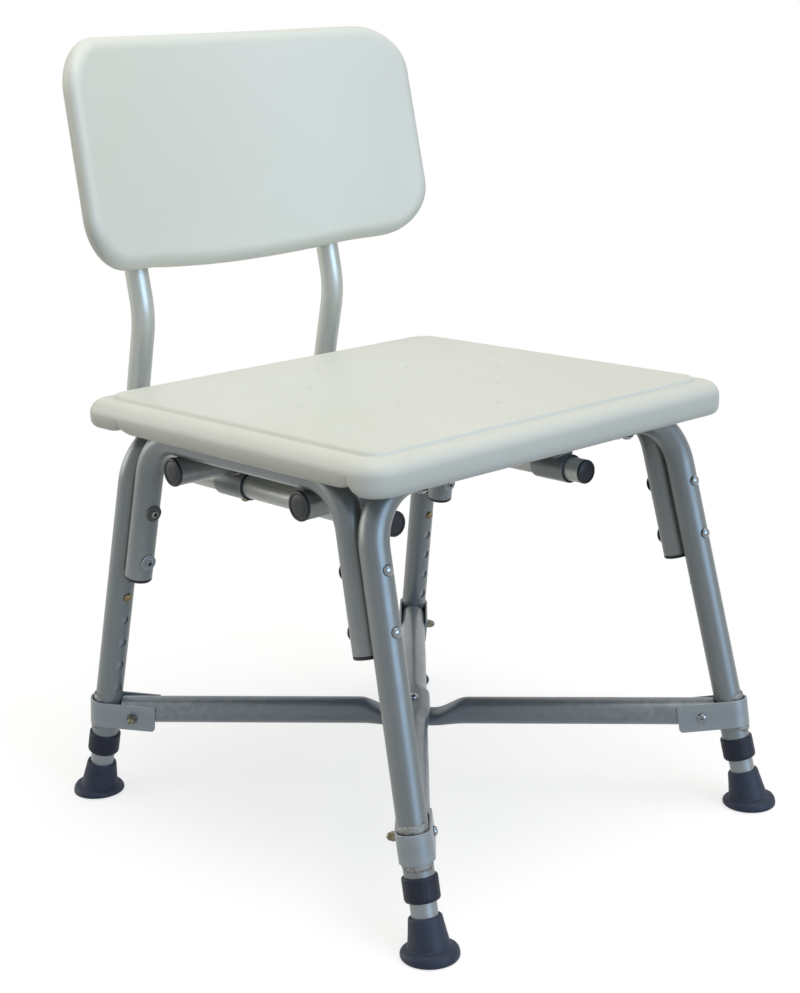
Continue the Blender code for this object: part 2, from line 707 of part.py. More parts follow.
def make_cross_bar(end, y):
    name = end + "_cross_bar"
    place = Matrix.Translation((0, y, CROSS_Z)) @ Matrix.Rotation(math.pi / 2, 4, "Y")
    bar_mesh = tube(name, CROSS_LENGTH, TUBE_R, BORE_R, -CROSS_LENGTH / 2)
    bar = add_object(name, bar_mesh, ALUMINIUM, local=place)
    for side, across in SIDES.items():
        x = across * SLEEVE_SPACING / 2
        spot = Matrix.Translation((x, y - TUBE_R, SLEEVE_Z)) @ Matrix.Rotation(-math.pi / 2, 4, "X")
        sleeve = tube(name + "_sleeve", SLEEVE_LENGTH, SLEEVE_R, BORE_R)
        combine(bar, add_tool(name + "_sleeve_" + side, sleeve, spot), "UNION")
        plug = "cross_bar_plug_" + end + "_" + side
        seat = Matrix.Translation((across * CROSS_LENGTH / 2, y, CROSS_Z))
        turn = Matrix.Rotation(across * math.pi / 2, 4, "Y")
        head = plug_mesh(plug, TUBE_R + PLUG_LIP, BORE_R)
        add_object(plug, head, BLACK_PLASTIC, local=seat @ turn)
    if end == "rear":
        rods = [post_button_rod(across, SLEEVE_Z) for across in SIDES.values()]
        holes = cylinders(name + "_holes", rods)
        combine(bar, add_tool(name + "_holes", holes), "DIFFERENCE")


def post_button_rod(across, z):
    x = across * SLEEVE_SPACING / 2
    return (x, POST_BUTTON_Y, z), (x, POST_BUTTON_Y, z - TUBE_OD), BUTTON_HOLE_R


# Backrest, built about the axis its posts slide along

def post_knee():
    rise = POST_KNEE_HEIGHT - SLEEVE_Z
    return Vector((0, POST_REAR_Y - rise * math.tan(POST_LOW_LEAN), rise))


def back_frame():
    # middle of the panel's bottom edge, +Y up the panel, +Z out of its front
    knee = post_knee()
    up = Vector((0, math.sin(POST_LEAN), math.cos(POST_LEAN)))
    start = knee + up * (BACK_RISE - POST_KNEE_RISE) / up.z
    ahead = Vector((0, -math.cos(POST_LEAN), math.sin(POST_LEAN)))
    matrix = Matrix(((1, 0, 0), up, ahead)).transposed().to_4x4()
    matrix.translation = start + ahead * BACK_OFFSET
    return matrix


def make_post(side, across):
    x = Vector((across * SLEEVE_SPACING / 2, 0, 0))
    top = back_frame() @ Vector((0, SOCKET_START + POST_INSERT, -BACK_OFFSET))
    front = x + Vector((0, POST_FRONT_Y, 0))
    rear = x + Vector((0, POST_REAR_Y, 0))
    lower = bent_path([front, rear, x + post_knee()], POST_BEND)
    upper = bent_path([lower[-2], x + post_knee(), x + top], POST_KNEE_BEND)
    name = "backrest_post_" + side
    skin = swept_skin(name, lower[:-1] + upper[1:], SLIDE_R)
    post = add_wall(add_object(name, skin, ALUMINIUM, BACKREST_EMPTY), SLIDE_WALL)
    hole = cylinders(name + "_hole", [post_button_rod(across, SLEEVE_Z)])
    combine(post, add_tool(name + "_hole", hole), "DIFFERENCE")
    plug = "backrest_post_plug_" + side
    end = Matrix.Translation(front) @ Matrix.Rotation(math.pi / 2, 4, "X")
    add_object(plug, plug_mesh(plug, SLIDE_R, SLIDE_BORE_R), BLACK_PLASTIC, BACKREST_EMPTY, end)
    spot = Matrix.Translation((x.x, POST_BUTTON_Y, 0))
    # the button points down and its leaf runs back along the post
    outward = Matrix(((0, 1, 0), (1, 0, 0), (0, 0, -1))).to_4x4()
    add_button("backrest_button_" + side, BACKREST_EMPTY, spot @ outward)


def make_backrest_panel():
    name = "backrest_panel"
    outline = rounded_rectangle(BACK_WIDTH, BACK_HEIGHT, BACK_CORNER_BOTTOM, BACK_CORNER_TOP, 0.0)
    mesh = plate(name, outline, BACK_THICKNESS, BACK_THICKNESS * 0.45, 2)
    bend_panel(mesh)
    panel = add_object(name, mesh, WHITE_PLASTIC, BACKREST_EMPTY, back_frame())
    bpy.context.view_layer.update()
    for side, across in SIDES.items():
        x = across * SLEEVE_SPACING / 2
        radius = round_bore(SLIDE_R, TUBE_SIDES)
        wall = radius + SOCKET_WALL
        end = SOCKET_START + POST_INSERT
        behind = -BACK_OFFSET
        rod = ((x, SOCKET_START, behind), (x, end + wall, behind), wall)
        add_to_panel(panel, "socket_" + side, cylinders(name, [rod]), "UNION")
        web = box(name, (x - wall, SOCKET_START, behind), (x + wall, end, panel_forward(x)))
        add_to_panel(panel, "web_" + side, web, "UNION")
        rod = ((x, -BACK_THICKNESS, behind), (x, end + GAP, behind), radius)
        add_to_panel(panel, "bore_" + side, cylinders(name, [rod], TUBE_SIDES), "DIFFERENCE")


def add_to_panel(panel, label, mesh, operation):
    tool = add_tool(panel.name + "_" + label, mesh, panel.matrix_world.copy())
    combine(panel, tool, operation)


def panel_forward(x):
    return BACK_SAG * (2 * x / BACK_WIDTH) ** 2


def bend_panel(mesh):
    # slice the flat panel into upright strips, then bring its sides forward
    bm = bmesh.new()
    bm.from_mesh(mesh)
    for strip in range(1, BACK_STRIPS):
        x = BACK_WIDTH * (strip / BACK_STRIPS - 0.5)
        bmesh.ops.bisect_plane(
            bm, geom=bm.verts[:] + bm.edges[:] + bm.faces[:], dist=0.00001,
            plane_co=(x, 0, 0), plane_no=(1, 0, 0))
    for vertex in bm.verts:
        x, height = vertex.co.x, vertex.co.y / BACK_HEIGHT
        vertex.co.x *= 1 + BACK_TAPER * (0.5 - height)
        vertex.co.y -= BACK_BOW * max(0, 1 - (2 * x / SLEEVE_SPACING) ** 2) * (1 - height)
        vertex.co.y += BACK_CROWN * (1 - (2 * x / BACK_WIDTH) ** 2) * height
        vertex.co.z += panel_forward(x)
    bmesh.ops.triangulate(bm, faces=bm.faces[:])
    bm.to_mesh(mesh)
    bm.free()


# Seat panel

def make_seat():
    name = "seat_panel"
    border_top = SEAT_HEIGHT - SEAT_STEP
    outline = rounded_rectangle(SEAT_WIDTH, SEAT_DEPTH, SEAT_CORNER, SEAT_CORNER)
    body = plate(name, outline, SKIRT_DROP, SEAT_EDGE, 3)
    place = Matrix.Translation((0, 0, border_top - SKIRT_DROP / 2))
    seat = add_object(name, body, WHITE_PLASTIC, local=place)
    inset = 2 * SEAT_BORDER
    raised = rounded_rectangle(SEAT_WIDTH - inset, SEAT_DEPTH - inset, RAISED_CORNER, RAISED_CORNER)
    rise = 4 * SEAT_STEP
    lift = Matrix.Translation((0, 0, SEAT_HEIGHT - rise / 2))
    top = plate(name + "_raised", raised, rise, SEAT_STEP * 0.6, 1)
    combine(seat, add_tool(name + "_raised", top, lift), "UNION")
    inset = 2 * SKIRT_WALL
    corner = SEAT_CORNER - SKIRT_WALL
    hollow = rounded_rectangle(SEAT_WIDTH - inset, SEAT_DEPTH - inset, corner, corner)
    under = plate(name + "_hollow", hollow, SKIRT_DROP)
    sink = Matrix.Translation((0, 0, SEAT_UNDER - SKIRT_DROP / 2))
    combine(seat, add_tool(name + "_hollow", under, sink), "DIFFERENCE")
    notch = plate(name + "_notches", notch_outline(), SEAT_WIDTH + 2 * SEAT_BORDER)
    turn = Matrix(((0, 0, 1), (1, 0, 0), (0, 1, 0))).to_4x4()
    turn.translation = (0, 0, border_top - SKIRT_DROP)
    combine(seat, add_tool(name + "_notches", notch, turn), "DIFFERENCE")
    combine(seat, add_tool(name + "_drains", drain_holes(name + "_drains")), "DIFFERENCE")


def notch_outline():
    # what is cut from the skirts, along Y and up from the lowest edge, which is the front's
    front = SEAT_DEPTH / 2 - NOTCH_FRONT_INSET
    rear = SEAT_DEPTH / 2 - NOTCH_REAR_INSET
    beyond = SEAT_DEPTH / 2 + SEAT_BORDER
    peak = NOTCH_HEIGHT + SKIRT_RISE
    outline = [(-front - NOTCH_WIDTH, -NOTCH_HEIGHT), (beyond, -NOTCH_HEIGHT), (beyond, SKIRT_RISE)]
    outline += notch_flank(rear, 1, SKIRT_RISE)[::-1]
    outline += [(rear, peak)] + notch_flank(rear, -1, SKIRT_RISE)
    outline += notch_flank(-front, 1, SKIRT_RISE)[::-1]
    return outline + [(-front, peak)] + notch_flank(-front, -1, 0)


def notch_flank(point, outward, level):
    # one of the two convex lobes that meet in a notch's point
    rise = NOTCH_HEIGHT + SKIRT_RISE - level
    lobe = [(0.3, 0.3), (0.6, 0.08), (1, 0)]
    return [(point + outward * reach * NOTCH_WIDTH, level + lift * rise) for reach, lift in lobe]


def drain_holes(name):
    # every second hole lies further in, so that they form a square on its corner
    rods = []
    low = SEAT_UNDER - SEAT_THICKNESS
    high = SEAT_HEIGHT + SEAT_STEP
    for spot in range(DRAIN_COUNT):
        angle = math.tau * spot / DRAIN_COUNT
        reach = DRAIN_SPREAD if spot % 2 == 0 else DRAIN_SPREAD / math.sqrt(2)
        x = reach * math.cos(angle)
        y = reach * math.sin(angle)
        rods.append(((x, y, low), (x, y, high), DRAIN_DIAMETER / 2))
    return cylinders(name, rods)


# The origin is set under the middle of the whole object

def center_on_origin():
    bpy.context.view_layer.update()
    graph = bpy.context.evaluated_depsgraph_get()
    reach = []
    for obj in PARTS.objects:
        if obj.type == "MESH":
            shape = obj.evaluated_get(graph)
            reach += [(shape.matrix_world @ vertex.co).y for vertex in shape.data.vertices]
    root = add_empty("bath_seat_root", Matrix.Translation((0, -(min(reach) + max(reach)) / 2, 0)))
    for obj in list(PARTS.objects) + list(CUTTERS.objects):
        if obj.parent is None and obj is not root:
            obj.parent = root


make_seat()
for end, y in (("front", CROSS_FRONT_Y), ("rear", CROSS_REAR_Y)):
    make_leg_frame(end)
    make_cross_bar(end, y)
for side in SIDES:
    make_side_rail(side)
for corner in CORNERS:
    make_leg_extension(corner)
    make_clamp(corner)
    make_rail_bolts(corner)
for level, corners in BRACES.items():
    make_brace(level, corners)
add_nut_bolt("brace_bolt", TUBE_OD, Matrix.Translation((0, 0, BRACE_HEIGHT)), BOLT_TAIL)
make_backrest_panel()
for side, across in SIDES.items():
    make_post(side, across)
center_on_origin()
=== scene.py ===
import json
import math

import bmesh
import bpy
from mathutils import Matrix, Vector, noise


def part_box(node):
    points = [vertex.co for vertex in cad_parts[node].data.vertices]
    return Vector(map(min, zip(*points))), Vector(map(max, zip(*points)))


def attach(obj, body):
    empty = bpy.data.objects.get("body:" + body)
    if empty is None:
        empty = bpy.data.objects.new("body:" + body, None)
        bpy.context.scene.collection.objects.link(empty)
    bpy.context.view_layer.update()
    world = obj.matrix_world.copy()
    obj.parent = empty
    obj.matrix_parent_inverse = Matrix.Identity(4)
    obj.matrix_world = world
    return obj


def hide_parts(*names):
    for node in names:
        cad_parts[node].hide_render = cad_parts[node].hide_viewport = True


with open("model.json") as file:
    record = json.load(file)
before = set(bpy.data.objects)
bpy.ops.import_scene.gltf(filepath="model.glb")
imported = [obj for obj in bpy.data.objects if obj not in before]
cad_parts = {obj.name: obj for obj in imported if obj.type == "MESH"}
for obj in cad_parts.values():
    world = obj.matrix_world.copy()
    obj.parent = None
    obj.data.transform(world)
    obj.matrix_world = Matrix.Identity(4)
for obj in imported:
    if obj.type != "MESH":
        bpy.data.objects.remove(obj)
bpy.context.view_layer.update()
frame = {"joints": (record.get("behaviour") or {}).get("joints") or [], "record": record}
scene = bpy.context.scene

# The pieces are laid out round the seat's middle, which lies midY behind the row's origin.
footSpots = {mount["name"][5:]: Vector(mount["pos_m"]) for mount in frame["record"]["mounts"]}
legAxes = {joint["child"][10:]: -Vector(joint["axis"]) for joint in frame["joints"]
           if joint["child"].startswith("extension_")}
midY = (footSpots["front_left"].y + footSpots["rear_left"].y) / 2
corners = {"front_left": (-1, -1), "front_right": (1, -1), "rear_left": (-1, 1), "rear_right": (1, 1)}
sides = {"left": -1, "right": 1}

fits = {"gap": 0.0003, "play": 0.00025, "tubeR": 0.0134, "tubeWall": 0.0012, "slideR": 0.0118,
        "slideWall": 0.0012}


# Colour and shader groups

def tone(red, green, blue):
    # a colour as seen on screen, made linear
    linear = []
    for level in (red, green, blue):
        share = level / 255
        linear.append(share / 12.92 if share <= 0.04045 else ((share + 0.055) / 1.055) ** 2.4)
    return (*linear, 1)


def addNode(tree, kind, inputs=None, **settings):
    node = tree.nodes.new(kind)
    for name, value in settings.items():
        setattr(node, name, value)
    for name, value in (inputs or {}).items():
        if isinstance(value, bpy.types.NodeSocket):
            tree.links.new(value, node.inputs[name])
        else:
            node.inputs[name].default_value = value
    return node


def newGroup(name, inputs, outputs, coords="Object"):
    group = bpy.data.node_groups.new(name, "ShaderNodeTree")
    for label, value in inputs.items():
        socket = group.interface.new_socket(label, in_out="INPUT", socket_type="NodeSocketFloat")
        socket.default_value = value
    for label in outputs:
        group.interface.new_socket(label, in_out="OUTPUT", socket_type="NodeSocketFloat")
    place = addNode(group, "ShaderNodeTexCoord").outputs[coords]
    given = group.nodes.new("NodeGroupInput").outputs
    return group, given, group.nodes.new("NodeGroupOutput").inputs, place


def addNoise(tree, place, scale, detail, roughness=0.5, distortion=0.0):
    return addNode(tree, "ShaderNodeTexNoise", {
        "Vector": place, "Scale": scale, "Detail": detail, "Roughness": roughness,
        "Distortion": distortion}).outputs["Fac"]


def mapped(tree, value, start=(0.0, 1.0), end=(0.0, 1.0)):
    # moves a value from one range to another
    return addNode(tree, "ShaderNodeMapRange", {
        "Value": value, "From Min": start[0], "From Max": start[1],
        "To Min": end[0], "To Max": end[1]}).outputs["Result"]


def combined(tree, operation, first, second):
    return addNode(tree, "ShaderNodeMath", {0: first, 1: second}, operation=operation).outputs["Value"]


def makeGrainGroup():
    # fine moulded stipple and a slow mottle
    group, given, put, place = newGroup("grain", {"Fine": 900.0, "Slow": 7.0}, ("Height", "Mottle"))
    slow = addNoise(group, place, given["Slow"], detail=5.0, roughness=0.55)
    group.links.new(addNoise(group, place, given["Fine"], detail=3.0, roughness=0.6), put["Height"])
    group.links.new(mapped(group, slow, start=(0.35, 0.65)), put["Mottle"])
    return group


def makeBrushedGroup():
    # drawn streaks that run along a tube, from its UV map in metres
    group, given, put, place = newGroup("brushed", {"Around": 700.0, "Along": 9.0}, ("Streak",), "UV")
    scale = addNode(group, "ShaderNodeCombineXYZ", {"X": given["Around"], "Y": given["Along"], "Z": 1.0})
    stretch = addNode(group, "ShaderNodeVectorMath", {0: place, 1: scale.outputs["Vector"]},
                      operation="MULTIPLY")
    streak = addNoise(group, stretch.outputs["Vector"], 1.0, detail=4.0, roughness=0.6)
    group.links.new(streak, put["Streak"])
    return group


def makeSmudgeGroup():
    # handling marks: soft patches broken up by a finer noise
    group, given, put, place = newGroup("smudge", {"Size": 16.0}, ("Mask",))
    patch = addNoise(group, place, given["Size"], detail=6.0, roughness=0.6, distortion=0.8)
    group.links.new(mapped(group, patch, start=(0.46, 0.68)), put["Mask"])
    return group


def makeWearGroup():
    # rubbed edges, from how sharply the surface turns
    group, given, put, place = newGroup(
        "edgeWear", {"Start": 0.53, "End": 0.62, "Breaks": 140.0}, ("Mask",))
    sharpness = addNode(group, "ShaderNodeNewGeometry").outputs["Pointiness"]
    edge = mapped(group, sharpness, start=(given["Start"], given["End"]))
    breaks = addNoise(group, place, given["Breaks"], detail=3.0)
    group.links.new(combined(group, "MULTIPLY", edge, breaks), put["Mask"])
    return group


def makeDustGroup():
    # settles where the surface faces up
    group, given, put, place = newGroup("dust", {"Size": 60.0}, ("Mask",))
    normal = addNode(group, "ShaderNodeNewGeometry").outputs["Normal"]
    up = addNode(group, "ShaderNodeSeparateXYZ", {"Vector": normal}).outputs["Z"]
    specks = addNoise(group, place, given["Size"], detail=6.0, roughness=0.7)
    facing = mapped(group, up, start=(0.1, 0.95))
    group.links.new(combined(group, "MULTIPLY", facing, mapped(group, specks, start=(0.4, 0.7))),
                    put["Mask"])
    return group


groups = {"grain": makeGrainGroup(), "brushed": makeBrushedGroup(), "smudge": makeSmudgeGroup(),
          "wear": makeWearGroup(), "dust": makeDustGroup()}
print("shader groups ready")


# Materials

def newMaterial(name, metallic, rough):
    material = bpy.data.materials.new(name)
    material.use_nodes = True
    tree = material.node_tree
    put = tree.nodes["Principled BSDF"].inputs
    put["Metallic"].default_value = metallic
    put["Roughness"].default_value = rough
    return material, tree, put


def useGroup(tree, name, **values):
    return addNode(tree, "ShaderNodeGroup", values, node_tree=groups[name]).outputs


def mixColor(tree, share, first, second):
    # the Mix node's sockets for colours, by number
    return addNode(tree, "ShaderNodeMix", {0: share, 6: first, 7: second}, data_type="RGBA").outputs[2]


def addBump(tree, put, height, values):
    bump = addNode(tree, "ShaderNodeBump", {
        "Height": height, "Strength": values["strength"], "Distance": values["depth"]})
    tree.links.new(bump.outputs["Normal"], put["Normal"])


plastics = {
    "whitePlastic": {
        "base": tone(226, 228, 218), "mottled": tone(224, 226, 215), "soil": tone(206, 206, 195),
        "soiled": 0.06, "rough": (0.45, 0.50), "sheen": 0.3, "grain": 1100.0, "strength": 0.30,
        "depth": 0.00016, "slot": "white_plastic"},
    "slatePlastic": {
        "base": tone(29, 34, 48), "mottled": tone(34, 40, 54), "soil": tone(74, 78, 86), "soiled": 0.12,
        "rough": (0.42, 0.58), "sheen": 0.22, "grain": 900.0, "strength": 0.25, "depth": 0.00012,
        "slot": "black_plastic"},
    "plugPlastic": {
        "base": tone(38, 42, 46), "mottled": tone(45, 48, 52), "soil": tone(84, 86, 88), "soiled": 0.10,
        "rough": (0.40, 0.55), "sheen": 0.30, "grain": 900.0, "strength": 0.22, "depth": 0.00012,
        "slot": "black_plastic"},
    "blackRubber": {
        "base": tone(38, 46, 62), "mottled": tone(50, 58, 76), "soil": tone(74, 76, 82), "soiled": 0.18,
        "rough": (0.55, 0.74), "sheen": 0.28, "grain": 650.0, "strength": 0.32, "depth": 0.00020,
        "slot": "black_rubber"},
}


def makePlastic(name, values):
    material, tree, put = newMaterial(name, 0.0, values["rough"][0])
    put["Specular IOR Level"].default_value = values["sheen"]
    grain = useGroup(tree, "grain", Fine=values["grain"])
    smudge = useGroup(tree, "smudge")
    dust = useGroup(tree, "dust")
    color = mixColor(tree, grain["Mottle"], values["base"], values["mottled"])
    share = mapped(tree, dust["Mask"], end=(0.0, values["soiled"]))
    tree.links.new(mixColor(tree, share, color, values["soil"]), put["Base Color"])
    rough = mapped(tree, smudge["Mask"], end=values["rough"])
    tree.links.new(rough, put["Roughness"])
    addBump(tree, put, grain["Height"], values)
    return material


# what drawn tubes and small turned parts have in common
drawn = {"streaked": (0.94, 1.05), "streaks": (700.0, 9.0), "strength": 0.05, "depth": 0.0002,
         "metallic": 0.35, "slot": "aluminium"}
small = {"streaked": (0.9, 1.06), "streaks": (500.0, 500.0), "strength": 0.08, "depth": 0.0002,
         "metallic": 1.0, "slot": "steel"}
# each metal's edge colour is a painted sheen, mixed in where the surface is seen at a grazing angle
metals = {
    "satinAluminium": {**drawn, "base": tone(118, 124, 125), "edge": tone(146, 151, 150),
                       "worn": tone(174, 178, 177), "rough": (0.35, 0.42)},
    # a darker copy of the satin aluminium: painted shade on the brace under the seat
    "shadedBraceTube": {**drawn, "base": tone(98, 106, 112), "edge": tone(130, 136, 140),
                  "worn": tone(168, 173, 175), "rough": (0.34, 0.41), "metallic": 0.40},
    # a lighter copy of the satin aluminium: painted light and painted reflection of the white seat and
    # backrest on the posts
    "litPostTube": {**drawn, "base": tone(188, 191, 184), "edge": tone(198, 201, 194),
                 "worn": tone(212, 214, 209), "rough": (0.35, 0.42)},
    "clampSheet": {**drawn, "base": tone(136, 144, 148), "edge": tone(154, 161, 164),
                   "worn": tone(180, 185, 187), "rough": (0.38, 0.46), "streaked": (0.97, 1.02),
                   "streaks": (420.0, 60.0)},
    "innerTube": {**drawn, "base": tone(138, 144, 146), "edge": tone(156, 161, 162),
                  "worn": tone(184, 188, 188), "rough": (0.34, 0.42), "streaks": (800.0, 6.0),
                  "strength": 0.06},
    "chromeSteel": {**small, "base": tone(112, 118, 124), "edge": tone(186, 190, 194),
                    "worn": tone(208, 210, 212), "rough": (0.18, 0.30), "strength": 0.05},
    "dullSteel": {**small, "base": tone(112, 114, 112), "edge": tone(150, 152, 150),
                  "worn": tone(186, 188, 186), "rough": (0.32, 0.46), "metallic": 0.8},
    "oliveSteel": {**small, "base": tone(98, 94, 76), "edge": tone(142, 138, 120),
                   "worn": tone(178, 174, 158), "rough": (0.30, 0.46), "streaked": (0.88, 1.06),
                   "metallic": 0.9},
    # dark washers: the rail bolts' upper washers, and the washer under each acorn nut, whose dark colour is
    # painted shade of the recess round the nut
    "darkWasherAndShade": {**small, "base": tone(66, 66, 65), "edge": tone(96, 96, 94),
                   "worn": tone(132, 131, 128), "rough": (0.42, 0.60), "strength": 0.10, "metallic": 0.5},
    "dullBrass": {**small, "base": tone(112, 98, 70), "edge": tone(152, 138, 106),
                  "worn": tone(182, 166, 130), "rough": (0.34, 0.50), "slot": "brass"},
}
# smudge size, the blend of the painted grazing-angle sheen, and the streaks' span
metalMarksAndSheen = {"smudge": 26.0, "facing": 0.35, "streakSpan": (0.3, 0.7)}


def makeMetal(name, values):
    material, tree, put = newMaterial(name, values["metallic"], values["rough"][0])
    around, along = values["streaks"]
    brushed = useGroup(tree, "brushed", Around=around, Along=along)
    smudge = useGroup(tree, "smudge", Size=metalMarksAndSheen["smudge"])
    wear = useGroup(tree, "wear")
    # painted sheen: toward the silhouette, where the surface is seen at a grazing angle, the colour turns to
    # the lighter edge colour
    facing = addNode(tree, "ShaderNodeLayerWeight", {"Blend": metalMarksAndSheen["facing"]}).outputs["Facing"]
    color = mixColor(tree, facing, values["base"], values["edge"])
    streaked = mapped(tree, brushed["Streak"], metalMarksAndSheen["streakSpan"], values["streaked"])
    shade = addNode(tree, "ShaderNodeVectorMath", {0: color, "Scale": streaked}, operation="SCALE")
    worn = mixColor(tree, wear["Mask"], shade.outputs["Vector"], values["worn"])
    tree.links.new(worn, put["Base Color"])
    rough = mapped(tree, smudge["Mask"], end=values["rough"])
    tree.links.new(rough, put["Roughness"])
    addBump(tree, put, brushed["Streak"], values)
    return material


weldValues = {"base": tone(148, 151, 148), "burnt": tone(108, 106, 99), "rough": (0.4, 0.7),
              "metallic": 0.6, "fine": 1500.0, "slow": 420.0, "strength": 0.6, "depth": 0.0004,
              "slot": "aluminium"}


def makeWeld(name, values):
    material, tree, put = newMaterial(name, values["metallic"], values["rough"][0])
    grain = useGroup(tree, "grain", Fine=values["fine"], Slow=values["slow"])
    color = mixColor(tree, grain["Mottle"], values["burnt"], values["base"])
    tree.links.new(color, put["Base Color"])
    rough = mapped(tree, grain["Mottle"], end=values["rough"])
    tree.links.new(rough, put["Roughness"])
    addBump(tree, put, grain["Height"], values)
    return material


materials = {name: makePlastic(name, values) for name, values in plastics.items()}
materials.update({name: makeMetal(name, values) for name, values in metals.items()})
materials["weldBead"] = makeWeld("weldBead", weldValues)
slots = {name: values["slot"] for name, values in {**plastics, **metals, "weldBead": weldValues}.items()}
print("materials ready", len(materials))


# Mesh tools

def frameAt(origin, up, toward):
    up = Vector(up).normalized()
    ahead = (Vector(toward) - up * up.dot(Vector(toward))).normalized()
    matrix = Matrix((ahead, up.cross(ahead), up)).transposed().to_4x4()
    matrix.translation = Vector(origin)
    return matrix


def loft(bm, rings, wrap=False):
    # skins rings of equal length, with a UV map in metres: u round the ring, v along the rings
    uvLayer = bm.loops.layers.uv.verify()
    rows = [[bm.verts.new(point) for point in ring] for ring in rings]
    count = len(rows[0])
    widest = max(rings, key=lambda ring: (ring[0] - ring[count // 2]).length)
    around = [0.0]
    for step in range(count):
        around.append(around[-1] + (widest[(step + 1) % count] - widest[step]).length)
    along = [0.0]
    order = list(range(len(rows))) + ([0] if wrap else [])
    for first, second in zip(order, order[1:]):
        along.append(along[-1] + (rings[second][0] - rings[first][0]).length)
        low, high = rows[first], rows[second]
        for step in range(count):
            after = (step + 1) % count
            face = bm.faces.new((low[step], low[after], high[after], high[step]))
            spots = ((around[step], along[-2]), (around[step + 1], along[-2]),
                     (around[step + 1], along[-1]), (around[step], along[-1]))
            for loop, spot in zip(face.loops, spots):
                loop[uvLayer].uv = spot
    if not wrap:
        bm.faces.new(list(reversed(rows[0])))
        bm.faces.new(rows[-1])


def turn(bm, profile, place, steps, wrap=False, ripple=None):
    # turns (radius, height) points about Z
    rings = []
    for radius, height in profile:
        ring = []
        for step in range(steps):
            angle = math.tau * step / steps
            reach = radius + (ripple(angle, height) if ripple else 0)
            ring.append(place @ Vector((reach * math.cos(angle), reach * math.sin(angle), height)))
        rings.append(ring)
    loft(bm, rings, wrap)


def pathFrames(path):
    # point, two normals and tangent at each stop, carried along without twist
    frames = []
    normal = None
    for index, point in enumerate(path):
        before = path[max(index - 1, 0)]
        after = path[min(index + 1, len(path) - 1)]
        tangent = ((point - before).normalized() + (after - point).normalized()).normalized()
        if normal is None:
            normal = tangent.orthogonal()
        normal = (normal - tangent * tangent.dot(normal)).normalized()
        frames.append((point, normal, tangent.cross(normal), tangent))
    return frames


def circle(steps):
    angles = [math.tau * step / steps for step in range(steps)]
    return [(math.cos(angle), math.sin(angle)) for angle in angles]


def ringAt(stop, radius, slide=0.0, steps=48):
    point, first, second, tangent = stop
    center = point + tangent * slide
    return [center + (first * c + second * s) * radius for c, s in circle(steps)]


def tubeMesh(name, path, radius, wall, lip=0.0004):
    stops = pathFrames(path)
    rings = [ringAt(stops[0], radius - lip), ringAt(stops[0], radius, lip)]
    rings += [ringAt(stop, radius) for stop in stops[1:-1]]
    rings += [ringAt(stops[-1], radius, -lip), ringAt(stops[-1], radius - lip)]
    rings += [ringAt(stop, radius - wall) for stop in reversed(stops)]
    return loftMesh(name, rings, wrap=True)


def bentPath(points, radius, steps=18):
    path = [points[0]]
    for before, corner, after in zip(points, points[1:], points[2:]):
        back = (before - corner).normalized()
        ahead = (after - corner).normalized()
        half = back.angle(ahead) / 2
        middle = corner + (back + ahead).normalized() * radius / math.sin(half)
        spoke = corner + back * radius / math.tan(half) - middle
        axis = back.cross(ahead)
        sweep = math.pi - 2 * half
        for step in range(steps + 1):
            path.append(middle + Matrix.Rotation(-sweep * step / steps, 3, axis) @ spoke)
    path.append(points[-1])
    return path


def loftMesh(name, rings, wrap=False, sharp=40):
    bm = bmesh.new()
    loft(bm, rings, wrap)
    return meshFrom(bm, name, sharp)


def turnMesh(name, profile, place, steps, wrap=False, ripple=None, sharp=40):
    bm = bmesh.new()
    turn(bm, profile, place, steps, wrap, ripple)
    return meshFrom(bm, name, sharp)


def meshFrom(bm, name, sharp=40):
    bmesh.ops.recalc_face_normals(bm, faces=bm.faces[:])
    mesh = bpy.data.meshes.new(name)
    bm.to_mesh(mesh)
    bm.free()
    smoothed(mesh, sharp)
    return mesh


def smoothed(mesh, sharp):
    mesh.shade_smooth()
    mesh.set_sharp_from_angle(angle=math.radians(sharp))


def addObject(name, data):
    holder = bpy.data.objects.new(name, data)
    scene.collection.objects.link(holder)
    return holder


def carved(mesh, tool, sharp=40):
    # cuts the tool mesh out and keeps the result as a plain mesh
    body, cutter = addObject("carvedBody", mesh), addObject("carvedTool", tool)
    boolean = body.modifiers.new("cut", "BOOLEAN")
    boolean.operation = "DIFFERENCE"
    boolean.solver = "EXACT"
    boolean.object = cutter
    bpy.context.view_layer.update()
    done = bpy.data.meshes.new_from_object(body.evaluated_get(bpy.context.evaluated_depsgraph_get()))
    done.name = mesh.name
    bpy.data.objects.remove(body)
    bpy.data.objects.remove(cutter)
    smoothed(done, sharp)
    return done


def rodTool(rods, steps=24):
    bm = bmesh.new()
    for start, end, radius in rods:
        loft(bm, [ringAt(stop, radius, 0, steps) for stop in pathFrames([Vector(start), Vector(end)])])
    return meshFrom(bm, "rodTool")


def addPiece(name, mesh, material, *nodes, body="frame", slotName=None):
    mesh.materials.clear()
    mesh.materials.append(materials[material])
    piece = addObject(name, mesh)
    piece.location = (0, midY, 0)
    slotName = slotName or slots[material]
    if nodes:
        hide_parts(*nodes)
    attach(piece, body)


def legFrame(corner):
    # on the floor under a leg: +Z up the leg, +X toward the seat's middle
    foot = footSpots[corner] - Vector((0, midY, 0))
    return frameAt(foot, legAxes[corner], (0, -corners[corner][1], 0))


def onLeg(corner, station, inward=0.0):
    return legFrame(corner) @ Vector((inward, 0, station))


# Leg frames, side rails and leg extensions

